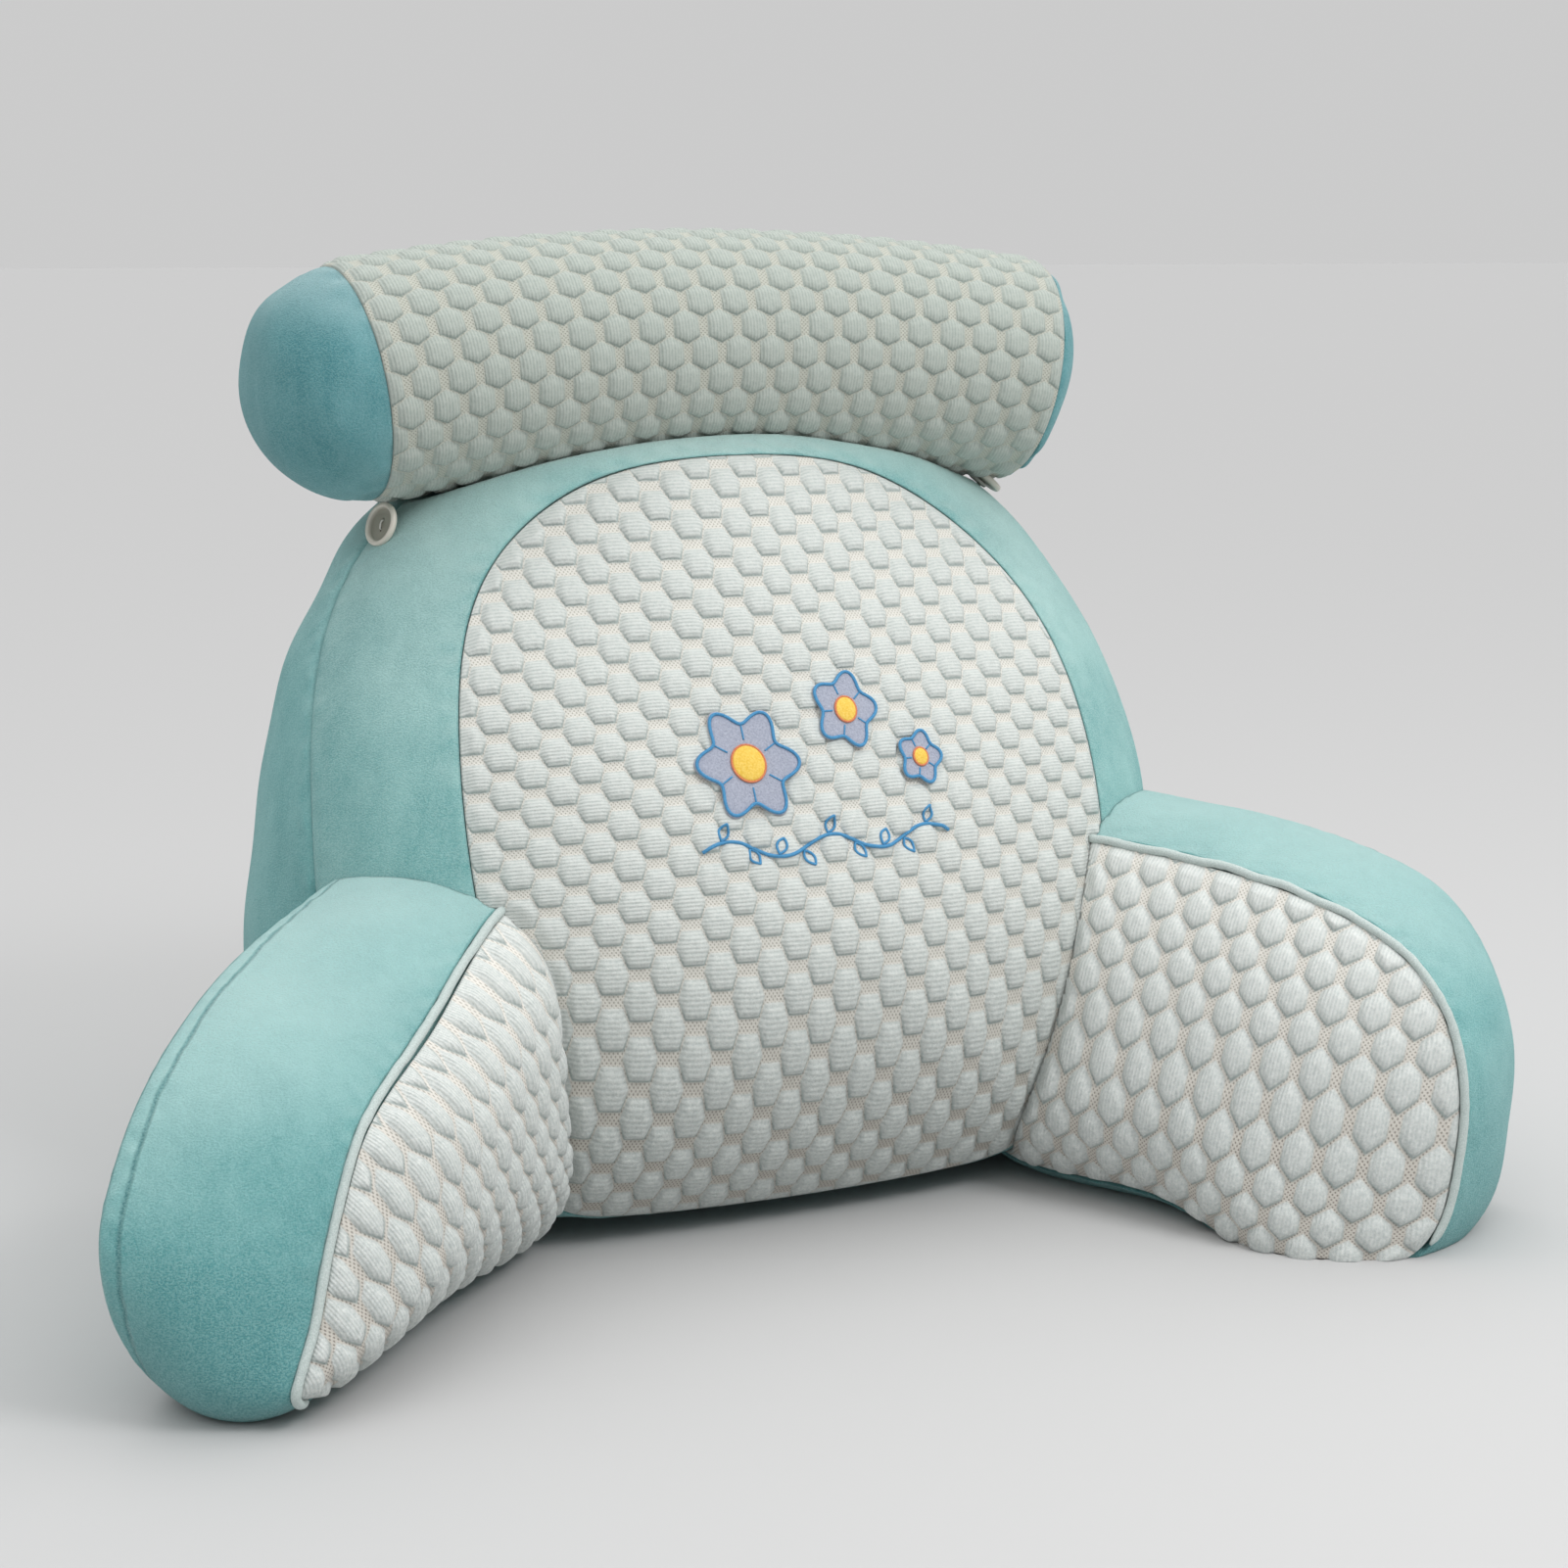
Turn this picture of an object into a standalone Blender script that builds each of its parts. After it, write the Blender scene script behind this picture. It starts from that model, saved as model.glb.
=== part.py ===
"""Reading pillow with arms and a neck roll, standing on its base and its two arms.

Metres, +Z up, front towards -Y. The origin is on the floor, at the middle of the footprint.

A padded body is a stack of closed outlines ("rings") joined by patches. A patch gives a ring of
points for each s, from 0 at its first ring to 1 at its last. The cover's own pieces are slabs
that lie in a recess of the filled body.
"""

import math

import bmesh
import bpy
import numpy as np
from mathutils import Matrix, Vector
from mathutils.geometry import delaunay_2d_cdt

COLLECTION = "reading_pillow_with_arms"
FOOTPRINT_MIDDLE = (-0.0161, 0.0225)  # its x and y before the model is moved to the origin

GAP = 0.0003  # between pieces that touch
COVER = 0.0060  # depth of the recess for a cover piece
SLAB = 0.0052  # padded thickness of a cover piece
SEAM_DIP = 0.0014  # how far a seam pulls the cover in
SEAM_REACH = 0.008  # from a seam to the cover's full height
SEAM_CHANNEL = 0.0012  # from a plain seam's middle to each piece
MITRE = 0.0045  # how much further from a seam a slab's back ends than its face
STEP = 0.01  # of s, for slopes

# Honeycomb quilting: height of a bubble; turn of the ribs in degrees, pitch along and across them.
QUILT_HEIGHT = 0.0030
CENTER_QUILT = (0, 0.0274, 0.0225)
GROUND_HALF = 0.12  # half a ground patch between bubbles, in pitches along the ribs

# Backrest, right half, from the middle of the base to the top. Each outline is (x, y, z).
BACKREST_STATIONS = (
    # centre panel's edge    front seam of the side  back seam of the side
    ((0.000, 0.004, 0.015), (0.000, 0.058, 0.008), (0.000, 0.210, 0.000)),
    ((0.095, 0.006, 0.016), (0.115, 0.058, 0.008), (0.115, 0.210, 0.000)),
    ((0.146, 0.004, 0.031), (0.195, 0.058, 0.012), (0.200, 0.208, 0.004)),
    ((0.165, -0.012, 0.095), (0.240, 0.060, 0.085), (0.252, 0.206, 0.085)),
    ((0.184, -0.006, 0.190), (0.252, 0.068, 0.205), (0.246, 0.206, 0.200)),
    ((0.179, 0.038, 0.298), (0.238, 0.108, 0.300), (0.202, 0.212, 0.300)),
    ((0.146, 0.080, 0.362), (0.205, 0.139, 0.362), (0.152, 0.218, 0.362)),
    ((0.085, 0.094, 0.403), (0.138, 0.149, 0.412), (0.085, 0.222, 0.400)),
    ((0.000, 0.086, 0.416), (0.000, 0.152, 0.428), (0.000, 0.222, 0.412)),
)
BACKREST_POINTS = 60  # round each outline
BACKREST_INSIDE = (0.0, 0.12, 0.20)
FACE_MIDDLE = (0.0, 0.205)  # x and z that the front's and the back's rings close in on
FACE_CROWN = -0.045
FACE_LEAN = 0.36  # backwards for each metre up
BACK_PLANE = 0.212
BACK_CROWN = 0.030
BAND_CROWN = 0.010
BAND_REST = 0.1  # the band's crown fades below this height
SIDE_CROWN = 0.018

# Neck roll, bent down and forward at its ends.
ROLL_RADIUS = 0.0645
ROLL_HALF_LENGTH = 0.204
ROLL_MIDDLE = (0.151, 0.472)  # y and z
ROLL_DROOP = 0.016
ROLL_FORWARD = 0.007
ROLL_BUBBLES_AROUND = 14
ROLL_BUBBLES_ALONG = 20
ROLL_SEAT = 0.0018  # from the roll's bubbles to the cover that it presses on
DOME_RINGS = 5
# The filling has pushed the left end out further than the right one.
ROLL_ENDS = (
    # name, side, depth of the dome
    ("left", -1, 0.056),
    ("right", 1, 0.022),
)

# Arm, in its own frame: distance forward from its root, distance outward, and height. Its
# weight presses what is below the floor flat.
ARM_LEFT = (
    # inner seam             outer seam
    ((-0.075, 0.000, 0.016), (-0.085, 0.100, 0.000)),
    ((0.060, 0.006, 0.012), (0.050, 0.095, 0.000)),
    ((0.160, 0.006, 0.009), (0.150, 0.087, 0.000)),
    ((0.196, 0.003, 0.017), (0.192, 0.084, 0.016)),
    ((0.186, 0.000, 0.042), (0.220, 0.083, 0.050)),
    ((0.172, 0.000, 0.070), (0.228, 0.083, 0.090)),
    ((0.153, 0.000, 0.103), (0.215, 0.084, 0.118)),
    ((0.128, 0.000, 0.130), (0.187, 0.085, 0.149)),
    ((0.068, 0.000, 0.157), (0.110, 0.091, 0.184)),
    ((0.000, 0.000, 0.190), (0.010, 0.098, 0.200)),
    ((-0.075, 0.000, 0.190), (-0.085, 0.100, 0.196)),
    ((-0.090, 0.000, 0.095), (-0.100, 0.100, 0.100)),
)
ARM_RIGHT = (
    # inner seam              outer seam
    ((-0.075, -0.012, 0.016), (-0.085, 0.098, -0.010)),
    ((0.030, -0.026, 0.010), (0.030, 0.098, -0.010)),
    ((0.090, -0.040, -0.004), (0.090, 0.098, -0.010)),
    ((0.142, -0.040, -0.012), (0.142, 0.098, -0.008)),
    ((0.186, -0.012, 0.004), (0.177, 0.098, 0.012)),
    ((0.199, -0.002, 0.048), (0.189, 0.098, 0.054)),
    ((0.200, 0.000, 0.092), (0.190, 0.098, 0.097)),
    ((0.187, 0.000, 0.136), (0.176, 0.098, 0.141)),
    ((0.153, 0.000, 0.169), (0.143, 0.098, 0.176)),
    ((0.083, 0.000, 0.192), (0.075, 0.098, 0.200)),
    ((0.000, 0.000, 0.201), (-0.020, 0.098, 0.209)),
    ((-0.075, 0.000, 0.190), (-0.085, 0.098, 0.200)),
    ((-0.090, 0.000, 0.095), (-0.100, 0.098, 0.100)),
)
ARM_POINTS = 44
ARM_MIDDLE = (0.045, 0.096)  # forward and up: where the rings of its two faces close
ARM_MIDDLE_OUT = 0.05
ARM_OUTER_PLANE = 0.09
ARM_OUTER_CROWN = 0.024
ARM_BAND_CROWN = 0.013
ARM_FULLNESS = 3  # higher is fuller near the seam
WELT_RADIUS = 0.0024
WELT_CHANNEL = 0.0029  # from the seam's middle to each cover piece beside the welt
WELT_START = -0.03  # forward of the root, within the backrest
WELT_ABOVE = (0.12, -0.6)  # it lies above this line: height at the root, and its slope
# The two arms are posed a little differently.
ARMS = (
    # name, side, root x and y, splay in degrees, inner face's crown and lean, outlines
    ("left", -1, 0.186, -0.022, 44, -0.036, 0.00, ARM_LEFT),
    ("right", 1, 0.186, -0.026, 33, -0.040, 0.28, ARM_RIGHT),
)
# Their quilting's ribs climb steeply, and the cloth is stretched along them.
ARM_QUILTS = {"left": (75, 0.034, 0.0190), "right": (84, 0.037, 0.0216)}

# A button under each end of the roll, and the roll's loop round its shank.
BUTTON_HEIGHT = 0.379  # on the frame band
BUTTON_ACROSS = 0.86  # of the band, from the centre panel
BUTTON_PROFILE = (
    # distance from the middle, height over the cloth
    (0.0017, 0.0006),
    (0.0017, 0.0038),
    (0.0112, 0.0038),
    (0.0122, 0.0048),
    (0.0122, 0.0066),
    (0.0110, 0.0074),
    (0.0094, 0.0070),
    (0.0084, 0.0060),
)
BUTTON_POINTS = 20
BUTTON_HOLES = 0.0031  # from the middle
BUTTON_HOLE_RADIUS = 0.0011
LOOP_RADIUS = 0.0010
LOOP_LIFT = 0.0022  # over the cloth
LOOP_REACH = 0.0034  # from the shank's middle
LOOP_LENGTH = 0.0075  # above the shank
LOOP_POINTS = 14

# Felt appliques on the centre panel.
FELT = 0.0012
FELT_BED = 0.0018  # height of the quilting that is pressed flat beneath
FELT_MARGIN = 0.010
FELT_LIFT = 0.0006
APPLIQUES = (
    # name, x, z, radius, petals, depth of the petals
    ("applique_flower_large", -0.040, 0.262, 0.029, 6, 0.15),
    ("applique_flower_medium", 0.020, 0.285, 0.020, 5, 0.14),
    ("applique_flower_small", 0.060, 0.258, 0.014, 5, 0.13),
)
APPLIQUE_POINTS = 30


def column(values):
    return np.reshape(values, (-1, 1))


def unit(vectors):
    return vectors / np.linalg.norm(vectors, axis=-1, keepdims=True)


def closed_curve(points, turns):
    """Points at these turns, 0 to 1, of a smooth closed curve through the given ones."""
    points = np.asarray(points, float)
    count = len(points)
    steps = np.sqrt(np.linalg.norm(np.roll(points, -1, 0) - points, axis=1))
    before = np.roll(steps, 1)
    system = np.zeros((count, count))
    rows = np.arange(count)
    system[rows, rows] = 2 / before + 2 / steps
    system[rows, (rows + 1) % count] += 1 / steps
    system[rows, (rows - 1) % count] += 1 / before
    rise = (np.roll(points, -1, 0) - points) / column(steps) ** 2
    slopes = np.linalg.solve(system, 3 * (rise + np.roll(rise, 1, 0)))
    knots = np.concatenate([[0], np.cumsum(steps)])
    at = np.asarray(turns) % 1 * knots[-1]
    first = np.clip(np.searchsorted(knots, at, side="right") - 1, 0, count - 1)
    last = (first + 1) % count
    step = column(steps[first])
    u = column(at - knots[first]) / step
    return (
        points[first] * (1 + 2 * u) * (1 - u) ** 2
        + points[last] * u**2 * (3 - 2 * u)
        + slopes[first] * step * u * (1 - u) ** 2
        - slopes[last] * step * u**2 * (1 - u)
    )


class Patch:
    """A stretch of a padded body's surface between two rings."""

    def __init__(self, ring, length, inside):
        self.ring = ring
        self.length = length
        self.inside = np.asarray(inside)

    def outward(self, s):
        middle = self.ring(s)
        around = np.roll(middle, -1, 0) - np.roll(middle, 1, 0)
        across = self.ring(s + STEP) - self.ring(s - STEP)
        normal = unit(np.cross(around, across))
        return normal * np.sign(np.sum(normal * (middle - self.inside)))

    def lifted(self, s, height):
        return self.ring(s) + self.outward(s) * height

    def from_start(self, distance):
        return distance / self.length

    def from_end(self, distance):
        return 1 - distance / self.length


def band_between(first, last, crown, inside):
    """A patch that bulges between two rings."""

    def straight(s):
        return first + (last - first) * column(s)

    length = np.linalg.norm(last - first, axis=1)
    bulge = Patch(straight, length, inside).outward(0.5) * crown

    def ring(s):
        return straight(s) + bulge * column(4 * s * (1 - s))

    return Patch(ring, length, inside)


class Dish:
    """A crowned face that closes a ring: y over a plane in x and z."""

    def __init__(self, rim, middle, plane, crown, inside, fullness=2):
        self.rim = rim
        self.fullness = fullness
        self.middle = np.asarray(middle)
        self.plane = plane
        self.crown = crown
        spokes = rim[:, [0, 2]] - self.middle
        self.reach = np.hypot(spokes[:, 0], spokes[:, 1])
        self.edge = rim[:, 1] - plane(rim[:, 2])
        angles = np.arctan2(spokes[:, 1], spokes[:, 0])
        order = np.argsort(angles)
        self.angles = angles[order]
        self.sorted_reach = self.reach[order]
        self.sorted_edge = self.edge[order]
        self.patch = Patch(self.ring, self.reach, inside)

    def flat_ring(self, s):
        return self.middle + (self.rim[:, [0, 2]] - self.middle) * column(s)

    def depth(self, flat, s, edge):
        share = np.abs(s) ** self.fullness
        return self.plane(flat[:, 1]) + edge * share + self.crown * (1 - share)

    def ring(self, s):
        flat = self.flat_ring(s)
        return np.stack([flat[:, 0], self.depth(flat, s, self.edge), flat[:, 1]], axis=1)

    def polar(self, flat):
        """How far out flat points lie, 1 at the rim; and the rim's reach and depth there."""
        spokes = flat - self.middle
        angles = np.arctan2(spokes[:, 1], spokes[:, 0])
        reach = np.interp(angles, self.angles, self.sorted_reach, period=2 * math.pi)
        edge = np.interp(angles, self.angles, self.sorted_edge, period=2 * math.pi)
        return np.hypot(spokes[:, 0], spokes[:, 1]) / reach, reach, edge

    def at(self, flat):
        s, _, edge = self.polar(flat)
        return np.stack([flat[:, 0], self.depth(flat, s, edge), flat[:, 1]], axis=1)

    def lifted(self, flat, height):
        """Points of the face over flat points, raised along its slope."""
        step = 0.002
        first = self.at(flat + (step, 0)) - self.at(flat - (step, 0))
        last = self.at(flat + (0, step)) - self.at(flat - (0, step))
        normal = unit(np.cross(first, last))
        facing = np.sign(np.sum(normal[:, 1]) * self.crown)
        return self.at(flat) + normal * facing * column(height)

    def pole(self, height):
        return self.lifted(self.middle[None], height)


def link(obj):
    bpy.data.collections[COLLECTION].objects.link(obj)
    return obj


def move_to_cutters(obj):
    for collection in list(obj.users_collection):
        collection.objects.unlink(obj)
    bpy.data.collections["cutters"].objects.link(obj)
    obj.hide_render = True
    obj.display_type = "WIRE"
    return obj


def material(name, colour, roughness):
    made = bpy.data.materials.new(name)
    made.use_nodes = True
    shader = made.node_tree.nodes["Principled BSDF"]
    shader.inputs["Base Color"].default_value = (*colour, 1)
    shader.inputs["Roughness"].default_value = roughness
    made.diffuse_color = (*colour, 1)
    return made


def mesh_object(name, points, faces, look):
    mesh = bpy.data.meshes.new(name)
    mesh.from_pydata([tuple(point) for point in points], [], [tuple(face) for face in faces])
    if look:
        mesh.materials.append(look)
    shape = bmesh.new()
    shape.from_mesh(mesh)
    bmesh.ops.remove_doubles(shape, verts=shape.verts, dist=1e-6)
    bmesh.ops.recalc_face_normals(shape, faces=shape.faces)
    shape.to_mesh(mesh)
    shape.free()
    mesh.shade_smooth()
    mesh.set_sharp_from_angle(angle=math.radians(40))
    return link(bpy.data.objects.new(name, mesh))


def bridge(first, last, count):
    """Triangles between two rings whose points start at these indices.

    A slab's back and the body's recess need the same diagonals, so that they stay apart.
    """
    faces = []
    for i in range(count):
        j = (i + 1) % count
        faces += [(first + i, first + j, last + j), (first + i, last + j, last + i)]
    return faces


def fan(pole, ring, count):
    return [(pole, ring + (i + 1) % count, ring + i) for i in range(count)]


def closed_loft(first_pole, rings, last_pole):
    """Points and faces of rings joined in turn, closed by a pole at each end."""
    count = len(rings[0])
    points = np.concatenate([*rings, first_pole, last_pole])
    faces = []
    for i in range(len(rings) - 1):
        faces += bridge(i * count, (i + 1) * count, count)
    faces += fan(len(points) - 2, 0, count)
    faces += fan(len(points) - 1, (len(rings) - 1) * count, count)
    return points, faces


def slab_loft(face, back):
    """Points and faces of a closed band: the rings of its face, and of its back, in one order."""
    count = len(face[0])
    last = len(face) - 1
    end = last + len(back)
    pairs = [(i, i + 1) for i in range(last)] + [(i, i + 1) for i in range(last + 1, end)]
    pairs += [(last, end), (0, last + 1)]
    faces = []
    for i, j in pairs:
        faces += bridge(i * count, j * count, count)
    return np.concatenate(face + back), faces


def tube(route, radius, sides, closed=False):
    """Points and faces of a round cord along a route."""
    if closed:
        along = unit(np.roll(route, -1, 0) - np.roll(route, 1, 0))
    else:
        along = unit(np.gradient(route, axis=0))
    first = unit(np.cross(along, unit(route.mean(axis=0) - route + (0, 0, 1e-6))))
    last = np.cross(along, first)
    rings = []
    for i in range(sides):
        turn = 2 * math.pi * i / sides
        rings.append(route + (first * math.cos(turn) + last * math.sin(turn)) * radius)
    count = len(route)
    faces = []
    for i in range(sides):
        j = (i + 1) % sides
        for k in range(count if closed else count - 1):
            m = (k + 1) % count
            faces.append((i * count + k, i * count + m, j * count + m, j * count + k))
    if not closed:
        faces.append(tuple(i * count for i in range(sides)))
        faces.append(tuple(i * count + count - 1 for i in range(sides)))
    return np.concatenate(rings), faces


def triangulated(outline, inner):
    """Triangles over a closed flat outline and points within it."""
    count = len(outline)
    flat = [Vector(point) for point in np.concatenate([outline, inner])]
    rim = [(i, (i + 1) % count) for i in range(count)]
    return [tuple(face) for face in delaunay_2d_cdt(flat, rim, [], 1, 1e-7)[2]]


def honeycomb(low, high, turn, pitch_along, pitch_across):
    """Flat points of the quilting over a rectangle, and each point's share of its height."""
    low, high = np.asarray(low), np.asarray(high)
    reach = np.hypot(*(high - low)) / 2
    columns = math.ceil(reach / pitch_along * 2)
    rows = math.ceil(reach / pitch_across * 2)
    points = []
    shares = []
    for i in range(-columns, columns + 1):
        for j in range(-rows, rows + 1):
            raised = (i + j) % 2 == 0
            for end in (0,) if raised else (-GROUND_HALF, GROUND_HALF):
                points.append(((i / 2 + end) * pitch_along, j / 2 * pitch_across))
                shares.append(float(raised))
    cosine, sine = math.cos(math.radians(turn)), math.sin(math.radians(turn))
    turned = np.array(points) @ np.array([[cosine, sine], [-sine, cosine]])
    return turned + (low + high) / 2, np.array(shares)


def quilted_slab(name, dish, channel, look, place, quilt, bed=None):
    """A quilted cover piece in a dish, at this distance from the seam: bubbles and a plain back.

    place turns its points into the world's, and bed changes the bubbles' heights.
    """
    patch = dish.patch
    outline = dish.flat_ring(patch.from_end(channel))
    shoulder = dish.flat_ring(patch.from_end(channel + SEAM_REACH))
    flat, share = honeycomb(outline.min(axis=0), outline.max(axis=0), *quilt)
    ratio, reach, _ = dish.polar(flat)
    kept = (1 - ratio) * reach > channel + 1.7 * SEAM_REACH
    flat, height = flat[kept], share[kept] * QUILT_HEIGHT
    if bed:
        height = bed(flat, height)
    count = len(outline)
    inner = np.concatenate([shoulder, flat])
    faces = triangulated(outline, inner)
    heights = np.concatenate([np.full(count, -SEAM_DIP), np.zeros(count), height])
    front = dish.lifted(np.concatenate([outline, inner]), heights)
    backs = [patch.lifted(s, -SLAB) for s in (patch.from_end(channel + MITRE), 0.7, 0.35)]
    first = len(front)
    back = np.concatenate([*backs, dish.pole(-SLAB)])
    points = np.concatenate([place(front, 0), place(back, SLAB)])
    faces += bridge(0, first, count)
    faces += bridge(first + count, first, count)
    faces += bridge(first + 2 * count, first + count, count)
    faces += fan(len(points) - 1, first + 2 * count, count)
    return mesh_object(name, points, faces, look)


def band_slab(name, band, channel, look, place):
    """A plain cover piece along a band, channel away from its first seam."""
    start, end = band.from_start(channel), band.from_end(SEAM_CHANNEL)
    across = (band.from_start(channel + SEAM_REACH), 0.3, 0.5, 0.7, band.from_end(SEAM_REACH))
    face = [band.lifted(start, -SEAM_DIP)]
    face += [band.lifted(s, 0) for s in across]
    face.append(band.lifted(end, -SEAM_DIP))
    hidden = (band.from_start(channel + MITRE), 0.5, band.from_end(SEAM_CHANNEL + MITRE))
    back = [place(band.lifted(s, -SLAB), SLAB) for s in hidden]
    face = [place(ring, 0) for ring in face]
    return mesh_object(name, *slab_loft(face, back), look)


def recess(dish, band):
    """The body's rings beneath a dish's and a band's cover pieces, up to the band's last seam."""
    rings = [dish.patch.lifted(s, -COVER) for s in (0.35, 0.7, dish.patch.from_end(MITRE))]
    across = (band.from_start(MITRE), 0.5, band.from_end(MITRE))
    return rings + [band.lifted(s, -COVER) for s in across] + [band.lifted(1.0, -SEAM_DIP)]


def on_floor(points, depth=0):
    """The points, with those that are lower moved up to depth above the floor."""
    return np.stack([points[:, 0], points[:, 1], np.maximum(points[:, 2], depth)], axis=1)


def roll_axis(x):
    share = (x / ROLL_HALF_LENGTH) ** 2
    y = ROLL_MIDDLE[0] - ROLL_FORWARD * share
    z = ROLL_MIDDLE[1] - ROLL_DROOP * share
    return np.stack([x, y, z], axis=-1)


def roll_frame(x):
    """The roll's direction at x, and its cross directions up and back."""
    bend = 2 * x / ROLL_HALF_LENGTH**2
    along = unit(np.stack([1 + 0 * x, -ROLL_FORWARD * bend, -ROLL_DROOP * bend], axis=-1))
    back = unit(np.cross([0.0, 0.0, 1.0], along))
    return along, np.cross(along, back), back


def roll_point(x, turn, radius):
    """Points round the roll: turn 0 is behind it, and a quarter turn is above it."""
    _, up, back = roll_frame(x)
    angle = column(2 * math.pi * turn)
    return roll_axis(x) + (back * np.cos(angle) + up * np.sin(angle)) * column(radius)


def pressed_by_roll(points, depth):
    """The points, with those that the roll takes moved to its seat, and depth beneath it."""
    x = points[:, 0].copy()
    for _ in range(3):
        along = roll_frame(x)[0]
        x += np.sum((points - roll_axis(x)) * along, axis=1) * along[:, 0]
    axis = roll_axis(np.clip(x, -ROLL_HALF_LENGTH, ROLL_HALF_LENGTH))
    spoke = points - axis
    wanted = ROLL_RADIUS + QUILT_HEIGHT + ROLL_SEAT + depth
    return axis + spoke * np.maximum(1, wanted / column(np.linalg.norm(spoke, axis=1)))


def backrest_place(points, depth=0):
    return pressed_by_roll(on_floor(points, depth), depth)


class Backrest:
    """The backrest's outlines and the patches between them."""

    def __init__(self):
        right = np.reshape(BACKREST_STATIONS, (-1, 9))
        left = right[-2:0:-1] * ([-1, 1, 1] * 3)
        turns = np.arange(BACKREST_POINTS) / BACKREST_POINTS
        rings = closed_curve(np.concatenate([right, left]), turns)
        edge, front_seam, back_seam = (on_floor(rings[:, i : i + 3]) for i in (0, 3, 6))
        self.face = Dish(edge, FACE_MIDDLE, self.lean, FACE_CROWN, BACKREST_INSIDE)
        crown = column(BAND_CROWN * np.clip(edge[:, 2] / BAND_REST, 0, 1))
        self.band = band_between(edge, front_seam, crown, BACKREST_INSIDE)
        self.side = band_between(front_seam, back_seam, SIDE_CROWN, BACKREST_INSIDE)
        self.back = Dish(back_seam, FACE_MIDDLE, self.upright, BACK_CROWN, BACKREST_INSIDE)

    def lean(self, z):
        return (z - FACE_MIDDLE[1]) * FACE_LEAN

    def upright(self, z):
        return BACK_PLANE + 0 * z

    def side_and_back(self, lift=0.0):
        """The rings from beside the side's front seam to the back."""
        side, back = self.side, self.back.patch
        across = (side.from_start(SEAM_REACH), 0.3, 0.5, 0.7, side.from_end(SEAM_REACH))
        rings = [side.lifted(s, lift) for s in across]
        rings.append(side.lifted(1.0, lift - SEAM_DIP))
        return rings + [back.lifted(s, lift) for s in (back.from_end(SEAM_REACH), 0.75, 0.4)]


def make_backrest_cushion(backrest, look):
    *hidden, seam = recess(backrest.face, backrest.band)
    hidden = [backrest_place(ring, COVER) for ring in hidden]
    shown = [backrest_place(ring) for ring in [seam, *backrest.side_and_back()]]
    poles = backrest.face.pole(-COVER), backrest.back.pole(0)
    return mesh_object("backrest_cushion", *closed_loft(poles[0], hidden + shown, poles[1]), look)


def in_applique(flat):
    inside = np.zeros(len(flat), bool)
    for _, x, z, radius, _, _ in APPLIQUES:
        inside |= np.hypot(flat[:, 0] - x, flat[:, 1] - z) < radius + FELT_MARGIN
    return inside


def make_center_panel(backrest, look):
    def bed(flat, height):
        return np.where(in_applique(flat), FELT_BED, height)

    face = backrest.face
    name = "backrest_center_panel"
    quilted_slab(name, face, SEAM_CHANNEL, look, backrest_place, CENTER_QUILT, bed)


def make_applique(face, name, x, z, radius, petals, depth, look):
    """A felt flower that follows the centre panel."""
    turns = np.arange(APPLIQUE_POINTS) / APPLIQUE_POINTS * 2 * math.pi
    reach = column(radius * (1 - depth + depth * np.cos(petals * turns)))
    spokes = np.stack([np.cos(turns), np.sin(turns)], axis=1) * reach
    inner = np.concatenate([spokes[::3] * share for share in (0.6, 0.25)])
    flat = np.concatenate([spokes, inner]) + (x, z)
    faces = triangulated(spokes, inner)
    count = len(flat)
    points = [face.lifted(flat, FELT_BED + FELT_LIFT + lift) for lift in (0, FELT)]
    under = [tuple(i + count for i in reversed(triangle)) for triangle in faces]
    faces = faces + under + bridge(0, count, APPLIQUE_POINTS)
    return mesh_object(name, np.concatenate(points), faces, look)


def make_arm_cutter(backrest):
    """The backrest's outer shape, grown a little, down to below the floor."""
    clear = GAP + 0.0003
    face, band = backrest.face.patch, backrest.band
    rings = [face.lifted(s, clear + QUILT_HEIGHT + 0.0006) for s in (0.2, 0.4, 0.6, 0.8, 0.95)]
    across = (0.0, band.from_start(SEAM_REACH), 0.3, 0.5, 0.7, band.from_end(SEAM_REACH))
    rings += [band.lifted(s, clear) for s in (*across, 1.0)]
    rings += backrest.side_and_back(clear)
    skirt = 0.030
    low = -0.020
    for ring in rings:
        ring[:, 2] = np.where(ring[:, 2] < skirt, low, ring[:, 2])
    poles = backrest.face.pole(clear + QUILT_HEIGHT), backrest.back.pole(clear)
    cutter = mesh_object("arm_cutter", *closed_loft(poles[0], rings, poles[1]), None)
    return move_to_cutters(cutter)


def cut(obj, cutter):
    modifier = obj.modifiers.new("cut", "BOOLEAN")
    modifier.operation = "DIFFERENCE"
    modifier.solver = "EXACT"
    modifier.object = cutter


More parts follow.
